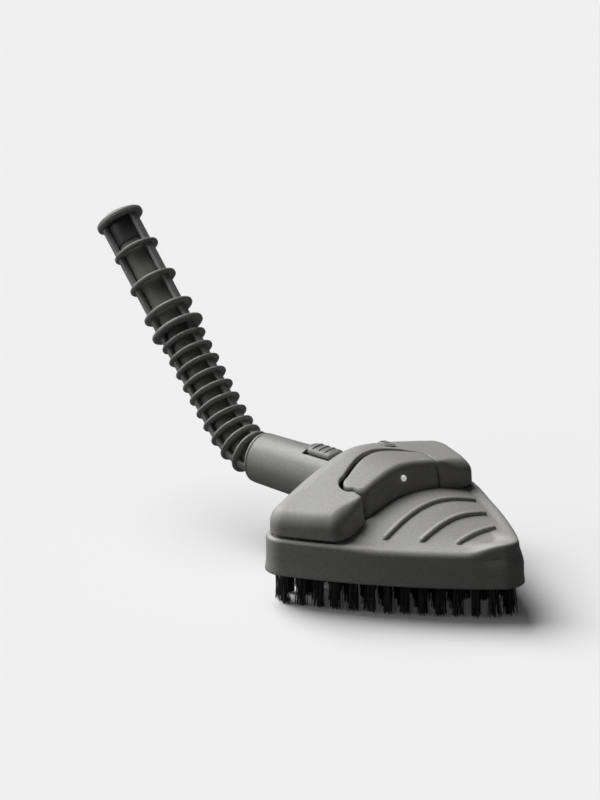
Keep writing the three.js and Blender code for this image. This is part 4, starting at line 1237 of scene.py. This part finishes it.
def dot_shape():
    """Domed round dot, set in the lever's leaning front."""
    y, z = DOT_PLACE
    dome = lathe([(0, -1), (0.7, -0.85), (0.94, -0.3), (0.94, 0.3), (0.7, 0.85), (0, 1)], 28, 0.5, 4)
    place = Vector((LEVER_FRONT_X - float(lever_lean(LEVER_FRONT_X, z)) + 0.7, y, z - 0.3))
    size = Matrix.Diagonal((*DOT_SIZE, 1))
    return Shape().add(dome, Matrix.Translation(place) @ size @ Matrix.Rotation(math.pi / 2, 4, "Y"))


def lock_shape():
    """Slide lock: a pad with three ridges over a flange that stays under the cover."""
    def top(x, y):
        return roof_height(x, y) + LOCK["proud"]

    def under(x, y):
        return roof_height(x, y) - COVER_WALL - LOCK["room"]

    low = node_foot("lever_lock")
    pad = slab(lock_plan(0, 0), low + 1.6, top, 0.8, spacing=1.0)
    for place in (-1, 0, 1):
        x = LOCK["x"] + place * LOCK["pitch"]
        ys = np.linspace(LOCK["y"] - 2.6, LOCK["y"] + 2.6, 14)
        pad.add(bead([Vector((x, y, float(top(x, y)) + 0.02)) for y in ys], 0.5, 0.3))
    return pad.add(slab(lock_plan(LOCK["flange"], 0), low, under, 0.3, spacing=2.5))


class BRUSH_OT_lever(bpy.types.Operator):
    """Builds the trigger lever, its indicator dot and the slide lock behind it"""

    bl_idname = "brush.lever"
    bl_label = "Trigger lever"

    def execute(self, context):
        lever = piece("lever_body", lever_shape(), lever_finish(), ["trigger_lever"], 45)
        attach(lever, "lever")
        lugs = piece("lever_lugs", lug_shape(), lever_finish())
        cut(lugs, [pin_hole()])
        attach(lugs, "lever")
        # The dot's glow is a painted highlight: it shines a little itself, so the white dot looks brightly
        # lit.
        white = finish("Indicator white painted glow", (0.86, 0.86, 0.84), 0.25, grain=0.2, wear=0.2, dust=0.05, coat=0.3,
                       glow=0.4)
        dot = piece("indicator_lens", dot_shape(), white, ["indicator_dot"])
        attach(dot, "lever")
        slide = piece("slide_lock", lock_shape(), lever_finish(), ["lever_lock"], 45)
        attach(slide, "lock")
        return {"FINISHED"}


# ---------- underside ----------

def spaced(outline, pitch):
    """Points about one pitch apart round a closed outline."""
    steps = np.linalg.norm(np.roll(outline, -1, axis=0) - outline, axis=1)
    total = steps.sum()
    count = round(total / pitch)
    passed = np.concatenate(([0], np.cumsum(steps)))
    points = []
    for i in range(count):
        target = total * (i + 0.5) / count
        edge = int(np.searchsorted(passed, target)) - 1
        share = (target - passed[edge]) / steps[edge]
        points.append(outline[edge] + (outline[(edge + 1) % len(outline)] - outline[edge]) * share)
    return points


def tuft_places():
    """Middles of the tufts, in rows that follow the plan, clear of the screws and the nozzle."""
    outer = head_outline(TUFT_INSET, 5, 8)
    middle_reach = PLAN_LENGTH / 3 + SIDE_BULGE - TUFT_INSET
    places = [np.zeros(2)]
    reach = middle_reach
    while reach > TUFT_PITCH:
        places += spaced(outer * reach / middle_reach, TUFT_PITCH)
        reach -= TUFT_PITCH
    clear = [(np.array(place), SCREW_ROOM) for place in PLATE_SCREWS]
    clear.append((np.array((NOZZLE_X, 0)), NOZZLE_RADIUS + 3))
    return [place for place in places if all(np.linalg.norm(place - spot) > gap for spot, gap in clear)]


def strand_shape(length, thick):
    """One bristle, hanging down with a slight bow and a finer tip."""
    rings = []
    for share in (0, 0.4, 0.8, 1):
        bow = 0.45 * share * share
        radius = thick * (1 - 0.25 * share)
        rings.append([(bow + radius * math.cos(a), radius * math.sin(a), -length * share)
                      for a in full_turn(4)])
    return Shape().solid(rings)


def strand_roots(height, filaments):
    """Roots of the bristles, tuft by tuft, with their leans: the outer tufts splay outwards."""
    dice = np.random.default_rng(41)
    places, leans = [], []
    for tuft in tuft_places():
        outward = tuft / max(np.linalg.norm(tuft), 1)
        rim = float(smooth((np.linalg.norm(tuft) - 28) / 22))
        drift = outward * rim * 0.035 + dice.normal(0, 0.018, 2)
        for _ in range(filaments):
            reach, angle = TUFT_RADIUS * math.sqrt(dice.random()), dice.random() * 2 * math.pi
            offset = reach * np.array((math.cos(angle), math.sin(angle)))
            lean = drift + offset * 0.016
            places.append((*(tuft + offset), height))
            leans.append((lean[1], -lean[0], 0))
    return points_mesh(places, leans)


class BRUSH_OT_bristles(bpy.types.Operator):
    """Builds the bristles, tuft by tuft, and the sheet that holds them"""

    bl_idname = "brush.bristles"
    bl_label = "Bristles"

    def execute(self, context):
        colours, sizes, _ = settings()
        root = PLATE_FOOT - CLEARANCE - TUFT_DEPTH
        nylon = finish("Nylon filament", colours.bristle, 0.38, grain=0.3, width=0.0008, wear=0.2, dust=0.15)
        mesh = copied("Scatter on points", strand_shape(root, sizes.filament / MM / 2),
                      strand_roots(root, sizes.filaments), Tilt=0.03, Spin=math.pi, Shortest=0.955, Seed=5,
                      Material=nylon)
        tufts = piece("bristle_tufts", mesh, nylon, ["bristle_field"])
        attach(tufts, "head")
        sheet = slab(head_outline(SHELL_WALL + 0.5), PLATE_FOOT - 1.3,
                     lambda x, y: np.zeros_like(x) + PLATE_FOOT - CLEARANCE, 0.25, spacing=9)
        carrier = piece("tuft_sheet", sheet, finish("Tuft sheet", (0.03, 0.03, 0.03), 0.55, wear=0.3))
        holes = [prism(disc(x, y, 4.0), 0, 40) for x, y in PLATE_SCREWS]
        cut(carrier, holes + [prism(disc(NOZZLE_X, 0, NOZZLE_RADIUS + CLEARANCE), 0, 40)])
        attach(carrier, "head")
        return {"FINISHED"}


def screw_shape(length, shank, head=3.0):
    """Screw pointing up from its seat, with a cross recess in its domed head."""
    body = lathe([(0, -1.7), (head * 0.7, -1.7), (head, -0.9), (head, 0), (shank, 0), (shank, length - 1.5),
                  (0.3, length), (0, length)], 24, 0.25, 2)
    pitch = 0.9
    for i in range(int((length - 3) / pitch)):
        z = 1.2 + i * pitch
        body.add(lathe([(shank * 0.8, z - 0.3), (shank + 0.24, z), (shank * 0.8, z + 0.3)], 20, 0.05, 1))
    for turn in (0, math.pi / 2):
        body.add(rounded_bar(-1.5, 1.5, -0.25, 0.25, -1.78, -1.62), Matrix.Rotation(turn, 4, "Z"))
    return body


class BRUSH_OT_underside(bpy.types.Operator):
    """Builds the screws and the steam nozzle, and finishes the brush plate"""

    bl_idname = "brush.underside"
    bl_label = "Plate, nozzle and screws"

    def execute(self, context):
        plate = finish("Brush plate plastic", (0.05, 0.05, 0.05), 0.5, wear=0.4)
        repaint(["brush_plate"], plate)
        groups = (
            ("plate_screws", PLATE_SCREWS, PLATE_FOOT - CLEARANCE, 12, 1.2, "plate_screw_{}"),
            ("cover_screws", COVER_SCREWS, SKIRT_TOP - SHELL_WALL - CLEARANCE, 11, 1.1, "cover_screw_{}"),
        )
        for name, spots, seat, length, shank, label in groups:
            places = [(x, y, seat) for x, y in spots]
            turns = [(0, 0, 0.4 + 0.9 * index) for index in range(len(spots))]
            mesh = copied("Scatter on points", screw_shape(length, shank), points_mesh(places, turns),
                          Shortest=1.0, Material=steel_finish())
            nodes = [label.format(index + 1) for index in range(len(spots))]
            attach(piece(name, mesh, steel_finish(), nodes), "head")
        low = PLATE_FOOT - 1.5
        body = lathe([(0, low), (5.4, low), (NOZZLE_RADIUS, low + 0.9), (NOZZLE_RADIUS, low + 5.5),
                      (4.5, low + 5.5), (4.5, low + 1.6), (0, low + 1.6)], 48, 0.3)
        nozzle = piece("nozzle_body", Shape().add(body, Matrix.Translation((NOZZLE_X, 0, 0))), brass_finish(),
                       ["steam_nozzle"])
        cut(nozzle, [prism(disc(NOZZLE_X + JET_CIRCLE * math.cos(a), JET_CIRCLE * math.sin(a), JET_RADIUS),
                           low - 1, low + 3) for a in full_turn(JETS)])
        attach(nozzle, "head")
        return {"FINISHED"}


def joint_range(name):
    """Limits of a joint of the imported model, in metres or radians."""
    found = [joint for joint in frame["record"]["behaviour"]["joints"] if joint["name"] == name][0]
    return found.get("range_m") or [math.radians(limit) for limit in found["range_deg"]]


class BRUSH_OT_valve(bpy.types.Operator):
    """Finishes the steam valve, pipes and pin, and winds the two springs"""

    bl_idname = "brush.valve"
    bl_label = "Valve and springs"

    def execute(self, context):
        repaint(["valve_body", "steam_pipe", "outlet_elbow", "hose_spigot"], brass_finish())
        repaint(["lever_pin", "valve_plunger"], steel_finish())
        springs = (("valve_coil", "valve_spring", 2.8, 0.35, 3.0, "plunger_push"),
                   ("button_coil", "button_spring", 3.0, 0.22, 2.0, "button_press"))
        for name, node, radius, thick, turns, joint in springs:
            low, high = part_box(node)
            height = high[2] - low[2]
            mesh = grown("Wound spring", None, Radius=radius * MM, Wire=thick * MM,
                         Height=height - 2 * thick * MM, Turns=turns, Material=steel_finish())
            middle = ((low[0] + high[0]) / 2, 0, low[2] + thick * MM)
            mesh.transform(Matrix.Translation(middle))
            coil = piece(name, mesh, steel_finish(), [node])
            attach(coil, "head")
            travel = max(abs(limit) for limit in joint_range(joint))
            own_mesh(coil)
        return {"FINISHED"}


# ---------- neck ----------

def button_shape():
    """Release button: flat and round behind, its top bowed with the neck, with three ridges across."""
    x, half, wide = BUTTON["x"], BUTTON["length"] / 2, BUTTON["half_width"]
    height = NECK_ROOT_RADIUS + 3.2
    flat = node_top("release_button") - 0.9
    end = x - half + wide
    outline = [(end + wide * math.cos(a), wide * math.sin(a))
               for a in np.linspace(math.pi / 2, 1.5 * math.pi, 30)]
    radius = 1.7
    for side, first in ((-1, -math.pi / 2), (1, 0)):
        outline += [(x + half - radius + radius * math.cos(a), side * (wide - radius) + radius * math.sin(a))
                    for a in np.linspace(first, first + math.pi / 2, 6)]

    def top(px, py):
        return np.minimum(NECK_Z - 1 + np.sqrt(height ** 2 - py ** 2), flat)

    shape = slab(np.array(outline), node_foot("release_button"), top, 1.6, steps=6, spacing=1.2)
    for place in (-1, 0, 1):
        ridge_x = x + place * BUTTON["pitch"]
        ys = np.linspace(-wide * 0.72, wide * 0.72, 22)
        shape.add(bead([Vector((ridge_x, y, float(top(ridge_x, y)) + 0.02)) for y in ys], 0.8, 0.6))
    return shape


class BRUSH_OT_neck(bpy.types.Operator):
    """Builds the neck tube, the lip at its rim and the release button"""

    bl_idname = "brush.neck"
    bl_label = "Neck and button"

    def execute(self, context):
        root, rim = -NECK_ROOT_X, -RIM_X - RIM_LIP
        flange_end, bore = root + NECK_FLANGE_DEPTH, SPIGOT_RADIUS + CLEARANCE
        profile = [(bore, root), (NECK_FLANGE_RADIUS, root), (NECK_FLANGE_RADIUS, flange_end),
                   (NECK_ROOT_RADIUS, flange_end), (NECK_ROOT_RADIUS, root + NECK_ROOT_LENGTH),
                   (NECK_RADIUS, rim), (NECK_BORE, rim), (NECK_BORE, -SPIGOT_X), (bore, -SPIGOT_X)]
        tube = piece("neck_body", along_neck(lathe(profile, 96, 0.5)), neck_finish(),
                     ["neck_tube"])
        half, wide = BUTTON["length"] / 2 + CLEARANCE, BUTTON["half_width"] + CLEARANCE
        room = np.array([(BUTTON["x"] + along * half, across * wide)
                         for along, across in ((1, -1), (1, 1), (-1, 1), (-1, -1))])
        cut(tube, [prism(room, BUTTON["floor"], NECK_Z + 30)])
        tube.data.set_sharp_from_angle(angle=math.radians(38))
        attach(tube, "head")
        lip = tube_band(NECK_BORE, NECK_RADIUS - 0.2, rim + CLEARANCE, -RIM_X, 96, 0.6)
        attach(piece("rim_lip", along_neck(lip), neck_finish(), ["rim_ring"]), "head")
        rubbed = finish("Button plastic", (0.22, 0.218, 0.212), 0.5, wear=0.8)
        button = piece("button_cap", button_shape(), rubbed, ["release_button"], 50)
        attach(button, "button")
        return {"FINISHED"}


# ---------- boot ----------

HINGE = Vector((0, math.cos(BEND_ROLL), -math.sin(BEND_ROLL)))


def boot_direction(bend):
    """Direction of the boot's line once it has bent up by an angle from the neck's."""
    up = Vector((0, math.sin(BEND_ROLL), math.cos(BEND_ROLL)))
    return Vector((-math.cos(bend), 0, 0)) + up * math.sin(bend)


def boot_places():
    """Pivot, middle and direction of each ring along the boot at rest."""
    steps = [FIRST_GAP] + [RING_PITCH] * (THIN_RINGS - 1) + [entry[0] for entry in CUFF_RINGS]
    middle = Vector((RIM_X, 0, NECK_Z))
    bend = 0
    places = [(middle.copy(), middle.copy(), boot_direction(0))]
    for index, step in enumerate(steps):
        middle = middle + boot_direction(bend) * step / 2
        pivot = middle.copy()
        bend += math.radians(REST_BENDS[index]) if index < len(REST_BENDS) else 0
        middle = middle + boot_direction(bend) * step / 2
        places.append((pivot, middle.copy(), boot_direction(bend)))
    return places


def stand(middle, direction):
    """Matrix that stands a shape made along +Z at a place on the boot, its +X along the hinge axis."""
    across = direction.cross(HINGE)
    matrix = Matrix((HINGE, across, direction)).transposed().to_4x4()
    matrix.translation = middle
    return matrix


def gap_frames(before, after, count=7):
    """Frames along the smooth curve from one ring's middle to the next."""
    pivot, middle, _ = after
    frames = []
    for t in np.linspace(0, 1, count):
        t = float(t)
        place = before[1] * (1 - t) ** 2 + pivot * 2 * t * (1 - t) + middle * t * t
        ahead = (pivot - before[1]) * (1 - t) + (middle - pivot) * t
        frames.append(stand(place, ahead.normalized()))
    return frames


def swept(section, frames):
    """Solid with one section, carried along frames."""
    return Shape().solid([[matrix @ Vector((x, y, 0)) for x, y in section] for matrix in frames])


def swept_tube(outer, inner, frames, segments=36):
    """Open-ended pipe carried along frames, its ends closed between the two walls."""
    shape = Shape()
    walls = [shape.rings([[matrix @ Vector((radius * math.cos(a), radius * math.sin(a), 0))
                           for a in full_turn(segments)] for matrix in frames]) for radius in (outer, inner)]
    shape.strip(walls[0][0], walls[1][0])
    shape.strip(walls[0][-1], walls[1][-1])
    return shape


def strut_section(grow=0.0):
    """Outline of one strut across the boot: a slice of a ring with rounded corners."""
    half, past = STRUT_ARC / 2, STRUT_ARC / 2 + 0.03
    outer = [(CAGE_RADIUS + grow, a) for a in np.linspace(-half, half, 9)]
    inner = [(CAGE_BORE - 0.02, a) for a in np.linspace(half, -half, 7)]
    corners = [(CAGE_RADIUS - 0.35, past), (CAGE_BORE + 0.2, past)]
    others = [(CAGE_BORE + 0.2, -past), (CAGE_RADIUS - 0.35, -past)]
    return [(r * math.cos(a), r * math.sin(a)) for r, a in outer + corners + inner + others]


def strut_cage(frames):
    """The struts of one gap, made once and turned about the boot's own line."""
    shape = Shape()
    for index in range(STRUTS):
        turn = Matrix.Rotation(STRUT_TURN + 2 * math.pi * index / STRUTS, 4, "Z")
        shape.add(swept(strut_section(), [matrix @ turn for matrix in frames]))
    return shape


def boot_ring(outer, thickness, segments=64):
    half = thickness / 2
    return lathe([(CAGE_BORE, -half), (outer - 1.2, -half), (outer, -half * 0.55), (outer, half * 0.55),
                  (outer - 1.2, half), (CAGE_BORE, half)], segments, 0.45)


class BRUSH_OT_boot(bpy.types.Operator):
    """Builds the flexible boot: its collar, seal, thin rings, struts and the hose inside"""

    bl_idname = "brush.boot"
    bl_label = "Flexible boot"

    def execute(self, context):
        rubber, hose = boot_finish(), hose_finish()
        places = boot_places()
        inner = -RIM_X - COLLAR_DEPTH
        collar = tube_band(CAGE_BORE, NECK_BORE - CLEARANCE, inner, -RIM_X + 0.8, 72, 0.3)
        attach(piece("boot_collar", along_neck(collar), rubber, ["boot_base"]), "boot_base")
        low = inner - CLEARANCE - SEAL_DEPTH
        seal = tube_band(CAGE_BORE, NECK_BORE - CLEARANCE, low, low + SEAL_DEPTH, 72, 0.7)
        black = finish("Seal rubber", (0.03, 0.03, 0.03), 0.4, grain=0.4)
        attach(piece("seal_ring", along_neck(seal), black, ["swivel_seal"]), "boot_base")
        start = -SPIGOT_X + 1.3
        feed = tube_band(HOSE_BORE, HOSE_RADIUS, start, -RIM_X, 36, 0.2)
        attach(piece("hose_feed", along_neck(feed), hose, ["steam_hose"]), "boot_base")
        bodies = ["boot_base"] + [f"ring_{index:02d}" for index in range(1, THIN_RINGS + 1)] + ["cuff"]
        for index in range(1, THIN_RINGS + 1):
            _, middle, direction = places[index]
            shape = Shape().add(boot_ring(RING_RADIUS, RING_THICKNESS), stand(middle, direction))
            node = f"boot_ring_{index:02d}"
            ring = piece(f"{node}_band", shape, rubber, [node])
            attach(ring, bodies[index])
        for index in range(1, THIN_RINGS + 2):
            before, after = places[index - 1], places[index]
            frames = gap_frames(before, after)
            start, end = tuple(before[1] * MM), tuple(after[1] * MM)
            struts = piece(f"boot_struts_{index:02d}", strut_cage(frames), rubber)
            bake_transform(struts)
            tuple(start)
            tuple(end)
            link = piece(f"hose_link_{index:02d}", swept_tube(HOSE_RADIUS, HOSE_BORE, frames), hose,
                         ["steam_hose"])
            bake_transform(link)
            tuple(start)
            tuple(end)
        return {"FINISHED"}


class BRUSH_OT_cuff(bpy.types.Operator):
    """Builds the stiff cuff at the boot's end, the hose in it and the socket for the supply hose"""

    bl_idname = "brush.cuff"
    bl_label = "Cuff and socket"

    def execute(self, context):
        rubber = boot_finish()
        places = boot_places()[THIN_RINGS + 1:]
        cage = Shape()
        for (_, radius, thickness), (_, middle, direction) in zip(CUFF_RINGS, places):
            cage.add(boot_ring(radius, thickness, 72), stand(middle, direction))
        first, last = places[0], places[-1]
        length = (last[1] - first[1]).length
        bar = swept(strut_section(0.35), [Matrix.Translation((0, 0, z)) for z in np.linspace(0, length, 9)])
        mesh = copied("Around an axis", bar, Count=STRUTS, First=STRUT_TURN, Material=rubber)
        matrix = stand(first[1], first[2])
        matrix.translation = matrix.translation * MM
        mesh.transform(matrix)
        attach(piece("cuff_struts", mesh, rubber), "cuff")
        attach(piece("cuff_bands", cage, rubber, ["boot_cuff"]), "cuff")
        reach = length - COUPLING_DEPTH - CLEARANCE
        frames = [stand(first[1] + first[2] * z, first[2]) for z in np.linspace(0, reach, 6)]
        hose = piece("hose_end", swept_tube(HOSE_RADIUS, HOSE_BORE, frames), hose_finish(),
                     ["steam_hose"])
        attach(hose, "cuff")
        bore, outer = COUPLING_BORE, CAGE_BORE - CLEARANCE
        # A bore with a groove for the plug's seal and a chamfered mouth.
        socket = lathe([(bore, -COUPLING_DEPTH), (outer, -COUPLING_DEPTH), (outer, 3.5), (bore + 0.7, 3.5),
                        (bore, 2.6), (bore, -2), (bore + 0.6, -2.4), (bore + 0.6, -3.8), (bore, -4.2)],
                       72, 0.25)
        dark = finish("Socket plastic", (0.07, 0.07, 0.068), 0.42, grain=0.5)
        plug = piece("hose_socket_body", Shape().add(socket, stand(last[1], last[2])), dark,
                     ["hose_coupling"])
        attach(plug, "cuff")
        return {"FINISHED"}


# ---------- stage ----------

class BRUSH_OT_stage(bpy.types.Operator):
    """Sets the camera, the pale floor and the soft light"""

    bl_idname = "brush.stage"
    bl_label = "Stage"

    def execute(self, context):
        scene = context.scene
        studio = settings()[2]
        back = Vector((math.sin(studio.azimuth) * math.cos(studio.elevation),
                       -math.cos(studio.azimuth) * math.cos(studio.elevation), math.sin(studio.elevation)))
        data = bpy.data.cameras.new("camera")
        data.sensor_width = 36
        data.lens = studio.lens
        data.clip_end = 100
        camera = link_new("camera", data)
        camera.location = CAMERA_PLACE
        camera.rotation_euler = back.to_track_quat("Z", "Y").to_euler()
        scene.camera = camera
        self.floor()
        for name, strength, (source, width) in (
                ("key_light", studio.key, KEY_SUN), ("side_light", studio.side, SIDE_SUN)):
            sun = bpy.data.lights.new(name, "SUN")
            sun.energy = strength
            sun.angle = math.radians(width)
            link_new(name, sun).rotation_euler = Vector(source).to_track_quat("Z", "Y").to_euler()
        world = bpy.data.worlds.new("Pale room")
        world.use_nodes = True
        world.node_tree.nodes["Background"].inputs["Color"].default_value = (1, 1, 1, 1)
        world.node_tree.nodes["Background"].inputs["Strength"].default_value = studio.fill
        scene.world = world
        scene.view_settings.view_transform = "Standard"
        return {"FINISHED"}

    def floor(self):
        mesh = bpy.data.meshes.new("floor")
        corners = [(x * FLOOR_REACH, y * FLOOR_REACH, 0) for x, y in ((-1, -1), (1, -1), (1, 1), (-1, 1))]
        mesh.from_pydata(corners, [], [(0, 1, 2, 3)])
        material = bpy.data.materials.new("Pale floor")
        material.use_nodes = True
        tree = material.node_tree
        shader = tree.nodes["Principled BSDF"]
        seen = tree.nodes.new("ShaderNodeLightPath").outputs["Is Camera Ray"]
        # The floor gives back little light, and glows a little itself, so shadows on it stay faint.
        tone = blend_colour(tree, seen, (0.08, 0.08, 0.08, 1), (0.8, 0.8, 0.8, 1))
        glow = blend_colour(tree, seen, (0, 0, 0, 1), (0.03, 0.03, 0.03, 1))
        tree.links.new(tone, shader.inputs["Base Color"])
        tree.links.new(glow, shader.inputs["Emission Color"])
        shader.inputs["Emission Strength"].default_value = 1
        shader.inputs["Roughness"].default_value = 0.9
        shader.inputs["Specular IOR Level"].default_value = 0.1
        mesh.materials.append(material)
        link_new("floor", mesh)


# ---------- sidebar ----------

OPERATORS = (BRUSH_OT_stage, BRUSH_OT_base, BRUSH_OT_cover, BRUSH_OT_lever, BRUSH_OT_bristles,
             BRUSH_OT_underside, BRUSH_OT_valve, BRUSH_OT_neck, BRUSH_OT_boot, BRUSH_OT_cuff)


class BRUSH_PT_panel(bpy.types.Panel):
    """Settings and build steps of the brush head."""

    bl_idname = "BRUSH_PT_panel"
    bl_label = "Brush Head"
    bl_space_type = "VIEW_3D"
    bl_region_type = "UI"
    bl_category = "Brush Head"

    def draw(self, context):
        for group in settings():
            box = self.layout.box()
            for name in group.__annotations__:
                box.prop(group, name)
        column = self.layout.column(align=True)
        for operator in OPERATORS:
            column.operator(operator.bl_idname)


CLASSES = (BrushFinish, BrushSizes, BrushStudio, *OPERATORS, BRUSH_PT_panel)


def register():
    for item in CLASSES:
        bpy.utils.register_class(item)
    bpy.types.Scene.brush_finish = bpy.props.PointerProperty(type=BrushFinish)
    bpy.types.Scene.brush_sizes = bpy.props.PointerProperty(type=BrushSizes)
    bpy.types.Scene.brush_studio = bpy.props.PointerProperty(type=BrushStudio)


def unregister():
    for name in ("brush_studio", "brush_sizes", "brush_finish"):
        delattr(bpy.types.Scene, name)
    for item in reversed(CLASSES):
        bpy.utils.unregister_class(item)


def main():
    register()
    for build in (grain_group, handling_group, dust_group, scatter_tree, coil_tree, around_tree):
        build()
    for operator in OPERATORS:
        area, name = operator.bl_idname.split(".")
        getattr(getattr(bpy.ops, area), name)()


if __name__ == "__main__":
    main()
